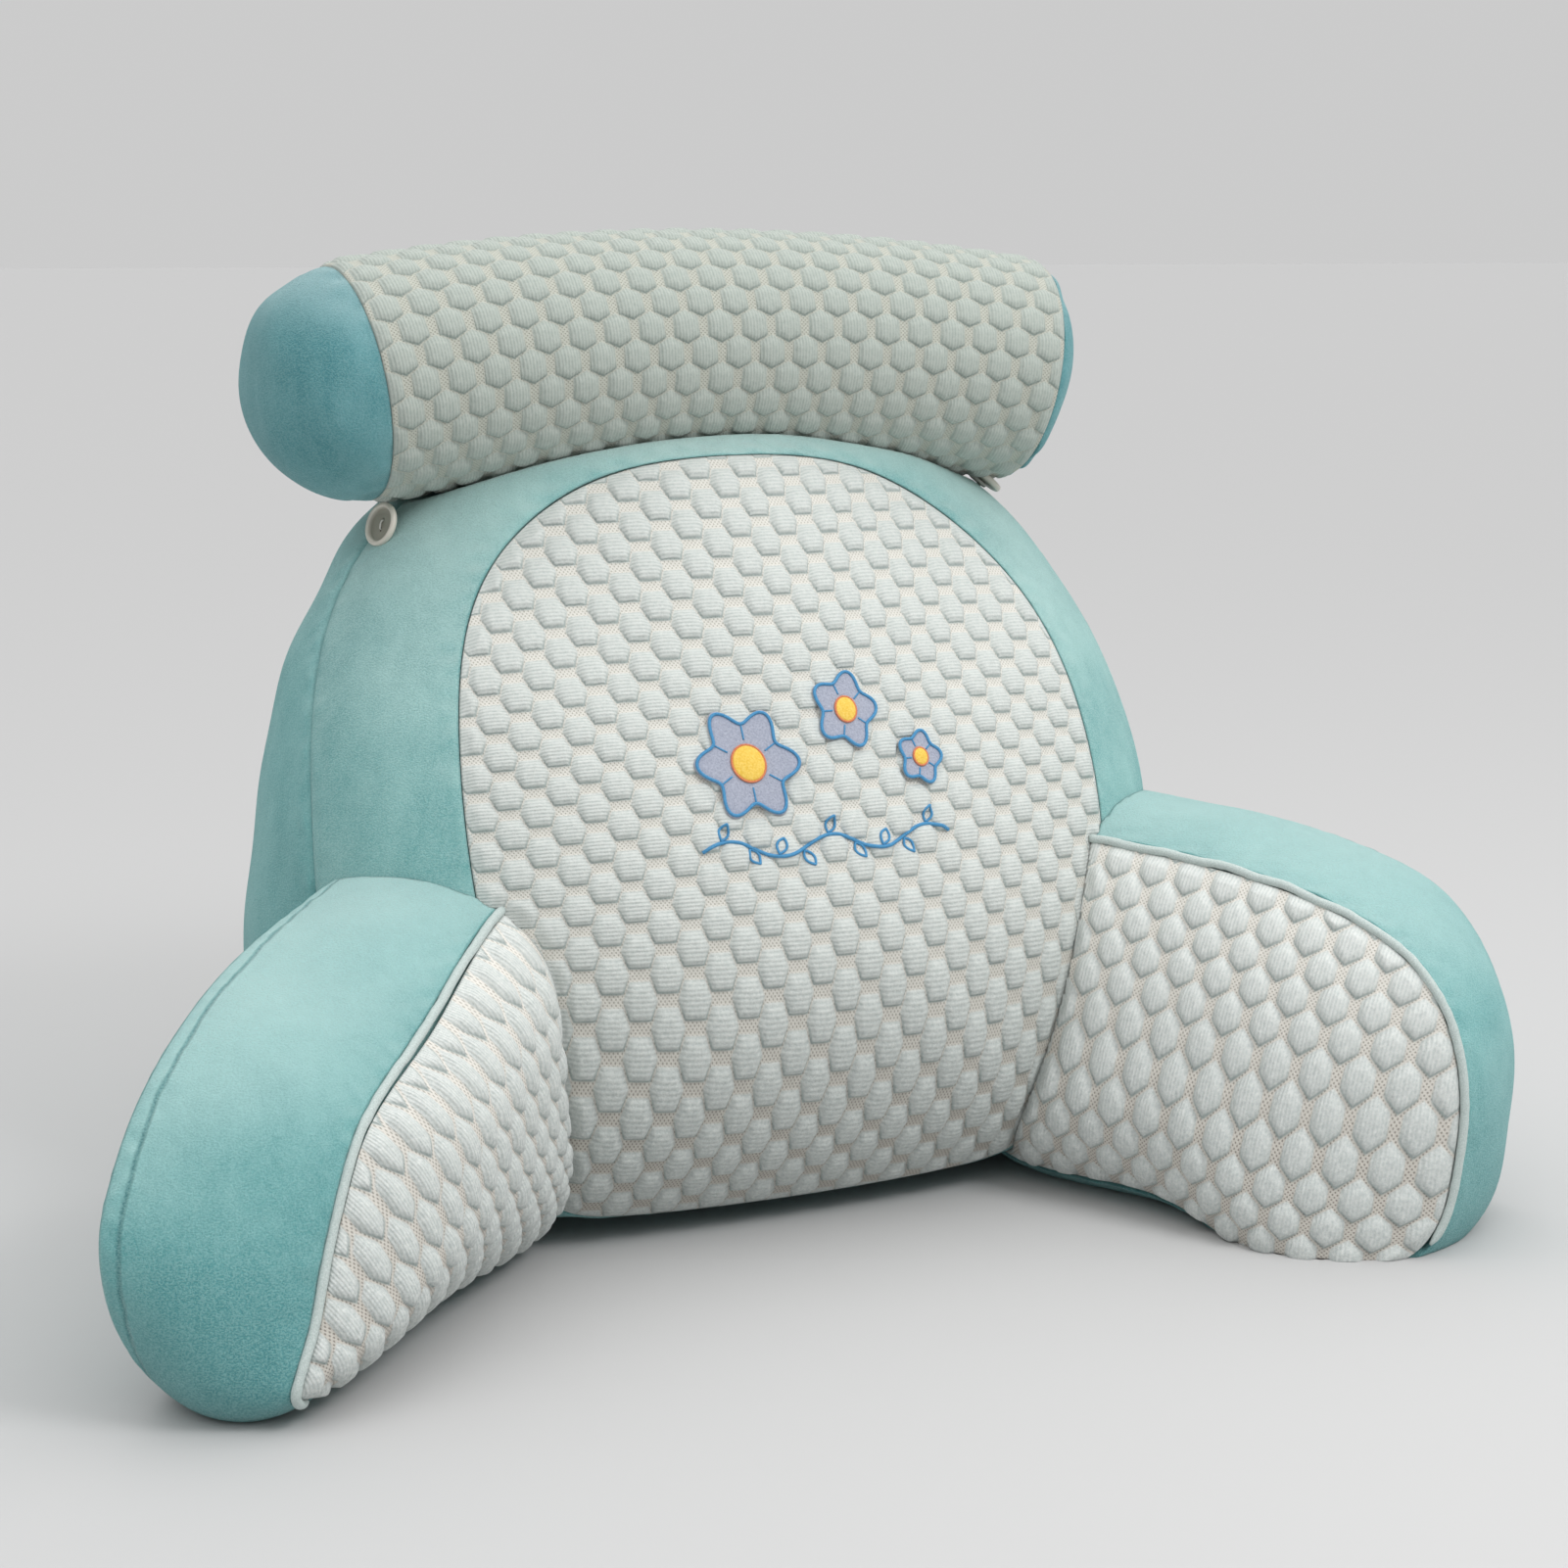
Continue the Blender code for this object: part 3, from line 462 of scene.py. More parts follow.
class Dish(Surface):
    """A crowned face that closes a ring: y over a leaning plane in x and z."""

    def __init__(self, rim, middle, depth, lean, crown, inside, place, fullness=2):
        self.rim = rim
        self.fullness = fullness
        self.middle = np.asarray(middle)
        self.depth = depth
        self.lean = lean
        self.crown = crown
        self.place = place
        spokes = rim[:, [0, 2]] - self.middle
        self.reach = np.hypot(spokes[:, 0], spokes[:, 1])
        self.edge = rim[:, 1] - self.plane(rim[:, 2])
        angles = np.arctan2(spokes[:, 1], spokes[:, 0])
        order = np.argsort(angles)
        self.angles = angles[order]
        self.sorted_reach = self.reach[order]
        self.sorted_edge = self.edge[order]
        self.patch = Patch(self.ring, self.reach, inside, place)

    def plane(self, z):
        return self.depth + (z - self.middle[1]) * self.lean

    def flat_ring(self, s):
        return self.middle + (self.rim[:, [0, 2]] - self.middle) * column(s)

    def raised(self, flat, s, edge):
        share = np.abs(s) ** self.fullness
        depth = self.plane(flat[:, 1]) + edge * share + self.crown * (1 - share)
        return np.stack([flat[:, 0], depth, flat[:, 1]], axis=1)

    def ring(self, s):
        return self.raised(self.flat_ring(s), s, self.edge)

    def polar(self, flat):
        """How far out flat points lie, 1 at the rim; and the rim's reach and depth there."""
        spokes = flat - self.middle
        angles = np.arctan2(spokes[:, 1], spokes[:, 0])
        reach = np.interp(angles, self.angles, self.sorted_reach, period=TURN)
        edge = np.interp(angles, self.angles, self.sorted_edge, period=TURN)
        return np.hypot(spokes[:, 0], spokes[:, 1]) / reach, reach, edge

    def at(self, flat):
        s, _, edge = self.polar(flat)
        return self.raised(flat, s, edge)

    def lifted(self, flat, height):
        first = self.at(flat + (FLAT_STEP, 0)) - self.at(flat - (FLAT_STEP, 0))
        last = self.at(flat + (0, FLAT_STEP)) - self.at(flat - (0, FLAT_STEP))
        normal = unit(np.cross(first, last))
        facing = np.sign(np.sum(normal[:, 1]) * self.crown)
        return self.at(flat) + normal * facing * column(height)

    def pole(self, height, depth=0):
        return self.placed(self.middle[None], height, depth)


def on_floor(points, depth=0):
    return np.stack([points[:, 0], points[:, 1], np.maximum(points[:, 2], depth)], axis=1)


def roll_axis(x):
    share = (x / ROLL_HALF_LENGTH) ** 2
    y = ROLL_MIDDLE[0] - ROLL_FORWARD * share
    z = ROLL_MIDDLE[1] - ROLL_DROOP * share
    return np.stack([x, y, z], axis=-1)


def roll_frame(x):
    bend = 2 * x / ROLL_HALF_LENGTH**2
    along = unit(np.stack([1 + 0 * x, -ROLL_FORWARD * bend, -ROLL_DROOP * bend], axis=-1))
    back = unit(np.cross([0.0, 0.0, 1.0], along))
    return along, np.cross(along, back), back


def roll_point(x, turn, radius):
    """Points round the roll: turn 0 is behind it, and a quarter turn is above it."""
    _, up, back = roll_frame(x)
    angle = column(TURN * turn)
    return roll_axis(x) + (back * np.cos(angle) + up * np.sin(angle)) * column(radius)


def backrest_place(points, depth=0):
    """The points kept above the floor and out of the roll, or that much further in."""
    points = on_floor(points, depth)
    x = points[:, 0].copy()
    for _ in range(3):
        along = roll_frame(x)[0]
        x += np.sum((points - roll_axis(x)) * along, axis=1) * along[:, 0]
    axis = roll_axis(np.clip(x, -ROLL_HALF_LENGTH, ROLL_HALF_LENGTH))
    spoke = points - axis
    wanted = ROLL_RADIUS + QUILT_HEIGHT + ROLL_GAP + depth
    distance = column(np.linalg.norm(spoke, axis=1))
    return axis + spoke * np.maximum(1, wanted / distance)


class Backrest:
    """The backrest's outlines and the patches between them."""

    def __init__(self, count):
        right = np.reshape(BACKREST_STATIONS, (-1, 9)) / MILLIMETRES
        left = right[-2:0:-1] * ([-1, 1, 1] * 3)
        rings = closed_curve(np.concatenate([right, left]), np.arange(count) / count)
        edge, front_seam, back_seam = (on_floor(rings[:, i : i + 3]) for i in (0, 3, 6))
        crown = column(BAND_CROWN * np.clip(edge[:, 2] / BAND_REST, 0, 1))
        within = (BACKREST_INSIDE, backrest_place)
        self.face = Dish(edge, FACE_MIDDLE, 0, FACE_LEAN, FACE_CROWN, *within)
        self.band = band_between(edge, front_seam, crown, *within)
        self.side = band_between(front_seam, back_seam, SIDE_CROWN, *within)
        self.back = Dish(back_seam, FACE_MIDDLE, BACK_PLANE, 0, BACK_CROWN, *within)
        self.band_height = soft_height(5, first_depth=FLAT_SEAM)
        self.side_height = soft_height(11, 0.0022)


class Arm:
    """An arm's outlines and patches, in its own frame."""

    def __init__(self, count, side, root_x, root_y, splay, crown, lean, stations):
        splay = math.radians(splay)
        self.root = np.array([side * root_x, root_y, 0])
        forward = [side * math.sin(splay), -math.cos(splay), 0]
        outward = [side * math.cos(splay), math.sin(splay), 0]
        self.axes = np.array([forward, outward, [0, 0, 1]])
        seams = np.reshape(stations, (-1, 6)) / MILLIMETRES
        rings = closed_curve(seams, np.arange(count) / count)
        inner, outer = rings[:, :3], rings[:, 3:]
        within = ((ARM_MIDDLE[0], ARM_MIDDLE_OUT, ARM_MIDDLE[1]), self.place)
        self.inner = Dish(inner, ARM_MIDDLE, 0, lean, crown, *within, ARM_FULLNESS)
        self.band = band_between(inner, outer, ARM_BAND_CROWN, *within)
        self.outer = Dish(outer, ARM_MIDDLE, ARM_OUTER_PLANE, 0, ARM_OUTER_CROWN, *within)

    def place(self, points, depth=0):
        return self.root + on_floor(points, depth) @ self.axes


# ---- heights over a surface


def seam_height(distance, depth=SEAM_DEPTH):
    """How far cloth stands over its surface at this distance from a seam: it rolls in there."""
    near = np.clip(1 - distance / SEAM_REACH, 0, 1)
    return -depth * (1 - np.sqrt(np.maximum(1 - near**2, 0)))


def puckers(points, distance, seed, size=0.0006, wavelength=0.011, reach=0.012):
    """Small gathers beside a seam."""
    return size * waves(points, wavelength, seed) * np.exp(-((distance / reach) ** 2))


def soft_height(seed, size=0.0014, first_depth=SEAM_DEPTH):
    """A height for plain cloth between two seams: broad waves, and small puckers at the seams."""

    def height_at(points, first, last):
        edge = np.minimum(first, last)
        height = seam_height(first, first_depth) + seam_height(last)
        height += size * waves(points, WAVE, seed) * np.clip(edge / WAVE_FADE, 0, 1)
        return height + puckers(points, edge, seed + 1) * np.clip(edge / PUCKER_FADE, 0, 1)

    return height_at


def turns_of(table, at):
    """How many pitches lie below these heights, for a table of heights and pitches."""
    heights, pitches = np.transpose(table)
    fine = np.linspace(heights[0] - 0.1, heights[-1] + 0.1, 900)
    counts = running(np.diff(fine) / np.interp(fine[1:], heights, pitches))
    return np.interp(at, fine, counts)


def bubble_share(along, across, hang):
    """0 at a quilted bubble's edge to 1 at its middle, and the way from that middle, in pitches."""
    longer = np.where(hang == HANG_ARM, ARM_BUBBLE, 0.0)
    power = np.where(hang == HANG_ARM, ARM_BUBBLE_POWER, BUBBLE_POWER)
    tip = BUBBLE_TIP + longer
    best = np.full(np.shape(along), np.inf)
    away = [np.zeros_like(best), np.zeros_like(best)]
    for shift in (0.0, 0.5):
        ways = [value - shift - np.round(value - shift) for value in (along, across)]
        p, q = (np.abs(way) for way in ways)
        width = (p + (tip - BUBBLE_CORNER + longer) / BUBBLE_SIDE * q) / tip
        far = (width**power + (q / BUBBLE_SIDE) ** power) ** (1 / power)
        nearer = far < best
        best = np.where(nearer, far, best)
        away = [np.where(nearer, way, known) for way, known in zip(ways, away)]
    return 1 - best, *away


def quilt(along, across, hang):
    """Height over the ground cloth, from 0 to 1: the filling sinks to a bubble's lower edge."""
    share, along_way, across_way = bubble_share(along, across, hang)
    under = np.where(hang == HANG_ACROSS, -across_way, hang * along_way)
    under = np.clip(under / BUBBLE_REACH, -1, 1)
    share = np.clip(share, 0, 1)
    ramp = BUBBLE_RAMP - BUBBLE_SAG * under
    steep = 1 - (1 - np.clip(share / ramp, 0, 1)) ** BUBBLE_ROUND
    return BUBBLE_STEEP * steep + BUBBLE_SOFT * (1 - (1 - share) ** 2)


def center_quilt(flat):
    """The centre panel's quilting: its rows arch a little, and run down to the right below."""
    x, z = flat.T
    low = np.clip((ROWS_LOW - z) / ROWS_BLEND, 0, 1)
    bent = z + ROWS_ARCH * x**2 * (1 - low) + ROWS_RUN * x * low
    return x / QUILT_ALONG, turns_of(CENTER_PITCHES, bent)


def arm_quilt(name):
    """An arm panel's quilting: its ribs climb, and its cloth is drawn out along them."""
    degrees, across, pitches = ARM_QUILTS[name]
    turn = math.radians(degrees)

    def quilt_at(flat):
        u, v = flat.T
        p = u * math.cos(turn) + v * math.sin(turn)
        q = v * math.cos(turn) - u * math.sin(turn)
        return turns_of(pitches, p), q / across

    return quilt_at


def away_from(surfaces, points, reach=0.02):
    """How far points lie from the nearest of some surfaces, up to a reach."""
    away = np.full(len(points), reach)
    for surface in surfaces:
        found = [surface.find_nearest(point, reach)[3] for point in points.tolist()]
        away = np.minimum(away, [reach if gap is None else gap for gap in found])
    return away


def panel_height(dish, walls, quilt_at, hang, size, flat_edge, patches=()):
    """A quilted panel's height: drawn in at its seam and at the walls, and pressed under patches."""

    def height_at(flat, distance):
        distance = np.minimum(distance, away_from(walls, dish.placed(flat, 0)))
        height = quilt(*quilt_at(flat), hang) * size
        height = height * np.clip((distance - flat_edge) / QUILT_FADE, 0, 1)
        for _, x, z, radius, _, _ in patches:
            away = np.hypot(flat[:, 0] - x, flat[:, 1] - z) - radius
            blend = np.clip(away / FELT_MARGIN, 0, 1)
            height = height * blend + np.minimum(height, FELT_BED) * (1 - blend)
        return height + seam_height(distance, FLAT_SEAM)

    return height_at


def stitched_height(line):
    """Embroidery follows the quilting, and presses it a little."""
    height = quilt(*center_quilt(line), HANG_ACROSS)
    smooth = np.convolve(np.pad(height, 4, mode="edge"), np.ones(9) / 9, mode="valid")
    return smooth * CENTER_HEIGHT + STITCH_LIFT


# ---- meshes


def bridge(first, last, count):
    i = np.arange(count)
    j = (i + 1) % count
    return np.stack([first + i, first + j, last + j, last + i], axis=1)


def fan(pole, ring, count, closes_last):
    i = np.arange(count)
    j = (i + 1) % count
    pair = (ring + i, ring + j) if closes_last else (ring + j, ring + i)
    return np.stack([np.full(count, pole), *pair], axis=1)


def face_list(blocks):
    return [face for block in blocks for face in block.tolist()]


def ring_rows(rings, closed_by=None):
    """Points and face lists of stacked rings; closed_by gives two poles, or None joins the ends."""
    count = len(rings[0])
    rows = len(rings)
    end = (rows - 1) * count
    blocks = [bridge(i * count, (i + 1) * count, count) for i in range(rows - 1)]
    if closed_by is None:
        blocks.append(bridge(end, 0, count))
    else:
        blocks.append(fan(rows * count, 0, count, False))
        blocks.append(fan(rows * count + 1, end, count, True))
    return np.concatenate([*rings, *(closed_by or ())]), face_list(blocks)


def made_object(name, points, faces):
    """A new object in the part's frame, made of points on the pattern."""
    mesh = bpy.data.meshes.new(name)
    mesh.from_pydata((points - [*FOOTPRINT_MIDDLE, 0]).tolist(), [], faces)
    made = bpy.data.objects.new(name, mesh)
    bpy.context.scene.collection.objects.link(made)
    return made


def outward(mesh):
    """Turns a closed mesh's faces out if they face in."""
    shell = bmesh.new()
    shell.from_mesh(mesh)
    if shell.calc_volume(signed=True) < 0:
        mesh.flip_normals()
    shell.free()


def mesh_piece(name, points, faces, look, replaced=(), data=None):
    """A piece of the visual model, with its finish, its data and what it stands for."""
    piece = made_object(name, points, faces)
    mesh = piece.data
    mesh.materials.append(look.material)
    for key, values in (data or {}).items():
        layer = mesh.attributes.new(key, "FLOAT_VECTOR", "POINT")
        layer.data.foreach_set("vector", np.asarray(values, np.float32).ravel())
    mesh.validate()
    outward(mesh)
    mesh.shade_smooth()
    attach(piece, "root")
    if replaced:
        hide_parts(*replaced)
    return piece


def cutting_object(points, faces):
    cutter = made_object("cutter", points, faces)
    outward(cutter.data)
    return cutter


def trim(piece, cutter):
    """Takes the cutter's shape off a piece for good."""
    modifier = piece.modifiers.new("trim", "BOOLEAN")
    modifier.operation = "DIFFERENCE"
    modifier.solver = "MANIFOLD"
    modifier.object = cutter
    scene_state = bpy.context.evaluated_depsgraph_get()
    mesh = bpy.data.meshes.new_from_object(piece.evaluated_get(scene_state))
    mesh.name = piece.name
    piece.modifiers.clear()
    piece.data = mesh


def grid_faces(count):
    i, j = np.meshgrid(np.arange(count - 1), np.arange(count - 1), indexing="ij")
    a = (i * count + j).ravel()
    return np.stack([a, a + count, a + count + 1, a + 1], axis=1)


def grid_rim(count):
    """Indices round a grid's rim, in one turn."""
    there = np.arange(count)
    back = there[-2::-1]
    return np.concatenate([there, there[1:] * count + count - 1, (count - 1) * count + back,
                           back[:-1] * count])


def filled_grid(outline, count):
    """A grid of flat points that fills an outline, from its lower left corner."""
    middle = (outline.min(axis=0) + outline.max(axis=0)) / 2
    ways = ((-1, -1), (1, -1), (1, 1), (-1, 1))
    corners = [int(np.argmax((outline - middle) @ way)) for way in ways]
    sides = []
    for start, end in zip(corners, corners[1:] + corners[:1]):
        end += len(outline) if end <= start else 0
        side = outline[np.arange(start, end + 1) % len(outline)]
        length = running(np.linalg.norm(np.diff(side, axis=0), axis=1))
        wanted = np.linspace(0, length[-1], count)
        sides.append(np.stack([np.interp(wanted, length, side[:, i]) for i in (0, 1)], axis=1))
    bottom, right, top, left = sides[0], sides[1], sides[2][::-1], sides[3][::-1]
    u = np.linspace(0, 1, count)[None, :, None]
    v = np.linspace(0, 1, count)[:, None, None]
    blend = (1 - v) * bottom[None] + v * top[None] + (1 - u) * left[:, None] + u * right[:, None]
    blend -= (1 - u) * (1 - v) * bottom[0] + u * (1 - v) * bottom[-1]
    blend -= (1 - u) * v * top[0] + u * v * top[-1]
    return blend.reshape(-1, 2)


def spread(rows):
    """Shares from 0 to 1 that lie closer at both ends."""
    share = np.linspace(0, 1, rows)
    return share - 0.055 * np.sin(share * TURN)


def dish_piece(name, dish, count, height_at, inset, look, replaced, quilt_at, hang):
    """A quilted cover piece over a dish: a fine grid in front, and a plain back that closes it."""
    flat = filled_grid(dish.flat_ring(dish.patch.from_end(inset)), count)
    ratio, reach, _ = dish.polar(flat)
    points = [dish.placed(flat, height_at(flat, (1 - ratio) * reach))]
    rim = grid_rim(count)
    for share in LINING_SHARES:
        behind = dish.middle + (flat[rim] - dish.middle) * share
        points.append(dish.placed(behind, -THICK, THICK))
    points = np.concatenate([*points, dish.pole(-THICK, THICK)])
    size = len(rim)
    start = count**2
    wall = bridge(0, start, size)
    wall[:, :2] = rim[wall[:, :2]]
    blocks = [grid_faces(count), wall]
    blocks += [bridge(start + i * size, start + (i + 1) * size, size) for i in (0, 1)]
    blocks.append(fan(start + 3 * size, start + 2 * size, size, True))
    values = np.zeros((len(points), 3))
    values[: len(flat)] = np.column_stack([*quilt_at(flat), np.full(len(flat), hang)])
    return mesh_piece(name, points, face_list(blocks), look, replaced, {"quilt": values})


def band_piece(name, band, rows, height_at, look, replaced, first_gap=BAND_GAP, stitched=False):
    """A cover piece along a band: fine rows in front, and two rows behind."""
    length = band.length
    rings = []
    edges = []
    for t in spread(rows):
        first = first_gap + t * (length - first_gap - BAND_GAP)
        s = first / length
        rings.append(band.placed(s, height_at(band.ring(s), first, length - first)))
        edges.append(length - first)
    inset = LINING_INSET + BAND_GAP, LINING_INSET + first_gap
    for s in (band.from_end(inset[0]), band.from_start(inset[1])):
        rings.append(band.placed(s, -THICK, THICK))
        edges.append(0 * length)
    data = {"edges": np.outer(np.concatenate(edges), (1, 0, 0))} if stitched else None
    return mesh_piece(name, *ring_rows(rings), look, replaced, data)


def body_piece(name, front, band, back, back_rows, back_height, look, replaced, side_rings=()):
    """A filled body: it runs beneath its cover pieces, and its own cloth closes the back."""
    face = front.patch
    rings = [face.placed(s, -COVER, COVER) for s in (0.35, 0.7, face.from_end(TUCK))]
    rings += [band.placed(s, -COVER, COVER) for s in (band.from_start(TUCK), 0.5, band.from_end(TUCK))]
    rings.append(band.placed(1.0, -SEAM_DEPTH - SEAM_GAP))
    rings += side_rings
    rings += back.patch.rings(back_rows, back_height, True)
    last = back_height(back.at(back.middle[None]), np.ones(1), np.ones(1))
    poles = (front.pole(-COVER), back.pole(last))
    return mesh_piece(name, *ring_rows(rings, poles), look, replaced)


def tube_piece(name, route, radius, sides, look, replaced=(), closed=False):
    """A round cord along a route; radius may be one number or one for each point."""
    steps = np.roll(route, -1, 0) - np.roll(route, 1, 0) if closed else np.gradient(route, axis=0)
    along = unit(steps)
    first = unit(np.cross(along, unit(route.mean(axis=0) - route + (0, 0, 1e-6))))
    last = np.cross(along, first)
    cosines, sines = circle(sides).T
    spokes = first[:, None] * column(cosines) + last[:, None] * column(sines)
    rings = route[:, None] + spokes * column(np.broadcast_to(radius, len(route)))[:, None]
    poles = None if closed else (route[:1], route[-1:])
    return mesh_piece(name, *ring_rows(list(rings), poles), look, replaced)


# ---- backrest and arms


def plain_surface(dish):
    """A dish without its relief, to measure distances from."""
    rings = [dish.placed(dish.flat_ring(s), 0) for s in np.linspace(0.1, 1.0, 60)]
    points, faces = ring_rows(rings, (dish.pole(0), dish.pole(0)))
    return BVHTree.FromPolygons(points.tolist(), faces[: -len(dish.reach)])


def arm_cutter(backrest, face_height):
    """The backrest's own surface, grown a little, and carried down through the floor."""
    face = backrest.face
    rings = []
    for s in np.linspace(0.3, 0.995, 90):
        flat = face.flat_ring(s)
        height = face_height(flat, (1 - s) * face.reach)
        rings.append(face.lifted(flat, height + ARM_CLEAR))
    for patch, height_at in ((backrest.band, backrest.band_height),
                             (backrest.side, backrest.side_height)):
        for t in spread(26)[1:]:
            height = height_at(patch.ring(t), t * patch.length, (1 - t) * patch.length)
            rings.append(patch.lifted(t, height + ARM_CLEAR))
    rings += [backrest.back.patch.lifted(s, ARM_CLEAR) for s in (0.95, 0.75, 0.4)]
    for ring in rings:
        ring[:, 2] = np.where(ring[:, 2] < CUTTER_LOW, CUTTER_BOTTOM, ring[:, 2])
    poles = (face.pole(ARM_CLEAR + QUILT_HEIGHT), backrest.back.pole(ARM_CLEAR))
    points, faces = ring_rows(rings, poles)
    return cutting_object(points, faces), BVHTree.FromPolygons(points.tolist(), faces)


def arm_welt(name, arm, look):
    seam = arm.inner.rim
    line = np.maximum(WELT_ABOVE[0] + WELT_ABOVE[1] * seam[:, 0], WELT_RADIUS + ARM_CLEAR)
    route = arm.place(seam[(seam[:, 0] > WELT_FROM) & (seam[:, 2] > line)])
    sway = waves(route, 0.026, 31) * 0.00045 + waves(route, 0.010, 32) * 0.00025
    radius = WELT_RADIUS * (1 + 0.05 * waves(route, 0.007, 33))
    radius[:6] *= np.sin(np.linspace(0.3, math.pi / 2, 6))
    radius[-3:] *= np.sin(np.linspace(math.pi / 2, 0.5, 3))
    route = route + column(sway) * [0.3, 0.3, 0.9]
    return tube_piece(f"arm_{name}_piping", route, radius, 14, look, [f"arm_{name}_welt"])


def arm_pieces(name, arm, cutter, wall, knit, velvet, welt):
    quilt_at = arm_quilt(name)
    pieces = [
        body_piece(f"arm_{name}_body", arm.inner, arm.band, arm.outer,
                   1 - np.linspace(0.012, 0.96, 44), soft_height(23, 0.0026), velvet,
                   [f"arm_{name}_cushion"]),
        band_piece(f"arm_{name}_cover_band", arm.band, 44, soft_height(41, 0.0020, FLAT_SEAM),
                   velvet, [f"arm_{name}_band"], WELT_GAP, True),
        dish_piece(f"arm_{name}_quilted_panel", arm.inner, 200,
                   panel_height(arm.inner, [wall], quilt_at, HANG_ARM, QUILT_HEIGHT,
                                ARM_FLAT_EDGE),
                   WELT_GAP, knit, [f"arm_{name}_inner_panel"], quilt_at, HANG_ARM),
        arm_welt(name, arm, welt),
    ]
    for piece in pieces:
        trim(piece, cutter)
    return pieces


# ---- neck roll


def roll_piece(look):
    around, along = 300, 300
    turns = np.arange(around) / around
    hang = -np.cos(TURN * turns)
    rings = []
    values = []
    for share in np.linspace(0, 1, along + 1):
        x = np.full(around, (share * 2 - 1) * ROLL_HALF_LENGTH)
        distance = min(share, 1 - share) * 2 * ROLL_HALF_LENGTH
        p, q = turns * ROLL_BUBBLES_AROUND, np.full(around, share * ROLL_BUBBLES_ALONG)
        rise = quilt(p, q, hang) * ROLL_HEIGHT * min(distance / QUILT_FADE, 1)
        rings.append(roll_point(x, turns, ROLL_RADIUS + rise + seam_height(distance, FLAT_SEAM)))
        values.append(np.stack([p, q, hang], axis=1))
    ends = roll_axis(np.array([-ROLL_HALF_LENGTH, ROLL_HALF_LENGTH]))
    data = {"quilt": np.concatenate([*values, np.zeros((2, 3))])}
    rows = ring_rows(rings, (ends[:1], ends[1:]))
    return mesh_piece("neck_roll_wrap", *rows, look, ["neck_roll"], data)


def roll_end_piece(name, side, depth, look):
    """A domed end, gathered a little at its seam."""
    count, rows = 200, 40
    x = np.full(count, side * ROLL_HALF_LENGTH)
    along = roll_frame(x)[0] * side
    turns = np.arange(count) / count
    rings = []
    for i in range(rows):
        rise = math.pi / 2 * i / rows
        reach = ROLL_END_RADIUS * math.cos(rise) ** ROLL_END_POWER
        flat = roll_point(x, turns, np.full(count, reach)) + along * depth * math.sin(rise)
        out = unit(flat - roll_axis(x))
        distance = (ROLL_RADIUS + depth) / 2 * rise
        height = puckers(flat, distance, 51, size=0.0011, wavelength=0.016, reach=0.014)
        height += ROLL_END_WAVES * waves(flat, 0.06, 53) * min(i / 12, 1)
        lift = (out * math.cos(rise) + along * math.sin(rise)) * column(height)
        rings.append(flat + along * ROLL_GAP + lift * (1 if i else 0))
    flat = roll_axis(x[:1]) + along[:1] * ROLL_GAP
    rows = ring_rows(rings, (flat, rings[-1].mean(axis=0)[None]))
    return mesh_piece(f"neck_roll_dome_{name}", *rows, look, [f"neck_roll_end_{name}"])


# ---- buttons, loops, appliques


def button_frame(backrest, side):
    """Where a button sits on the frame band: its place, and its axes right, up and out."""
    across = BUTTON_PLACES[side]
    ring, out = backrest.band.ring(across), backrest.band.outward(across)
    following = np.roll(ring, -1, 0)
    height = BUTTON_HEIGHTS[side]
    passes = (ring[:, 2] - height) * (following[:, 2] - height) <= 0
    i = np.flatnonzero(passes & (side * ring[:, 0] > 0))[0]
    share = (height - ring[i, 2]) / (following[i, 2] - ring[i, 2])
    place = ring[i] + (following[i] - ring[i]) * share
    j = (i + 1) % len(ring)
    out = unit(out[i] + (out[j] - out[i]) * share)
    out = unit(out * (1.0, 1.0, BUTTON_SLOPES[side]))
    up = unit(np.array([0, 0, 1]) - out * out[2])
    return place, np.stack([np.cross(up, out), up, out])


def button_pieces(name, place, axes, shell, cord):
    """A button with two holes, the thread between them, and the loop round its stem."""
    count = 64

    def ring(radius, height, middle=0.0):
        flat = circle(count) * radius + (0, middle)
        return place + np.column_stack([flat, np.full(count, height)]) @ axes

    rings = [ring(*row) for row in BUTTON_PROFILE]
    poles = [ring(0, BUTTON_PROFILE[i][1])[:1] for i in (0, -1)]
    points, faces = ring_rows(rings, poles)
    reach = np.repeat([radius for radius, _ in BUTTON_PROFILE] + [0], count)[: len(points)]
    data = {"edges": np.outer(reach, (1, 0, 0))}
    disc = mesh_piece(f"button_{name}_disc", points, faces, shell, [f"button_{name}"], data)
    for middle in (-BUTTON_HOLE, BUTTON_HOLE):
        hole = [ring(HOLE_RADIUS, height, middle) for height in HOLE_HEIGHTS]
        ends = [ring(0, height, middle)[:1] for height in HOLE_HEIGHTS]
        cutter = cutting_object(*ring_rows(hole, ends))
        trim(disc, cutter)
        bpy.data.objects.remove(cutter)
    disc.data.set_sharp_from_angle(angle=math.radians(SHARP_EDGE))

    share = np.linspace(-1, 1, 25)
    rise = THREAD_HEIGHT + THREAD_ARCH * np.cos(share * math.pi / 2)
    rise -= THREAD_DIP * np.clip(abs(share) - THREAD_DIP_FROM, 0, 1)
    route = place + np.stack([0 * share, BUTTON_HOLE * share, rise], axis=1) @ axes
    tube_piece(f"button_{name}_thread", route, THREAD_RADIUS, 8, cord)

    x, y = circle(80).T
    rise = smooth_step(np.clip(y / 0.4, 0, 1))
    y = y * LOOP_REACH + (LOOP_LENGTH - LOOP_REACH) * rise
    route = place + np.stack([x * LOOP_REACH, y, LOOP_LIFT + 0 * y], axis=1) @ axes
    tube_piece(f"button_loop_{name}_cord", route, LOOP_RADIUS, 10, cord, [f"button_loop_{name}"], True)


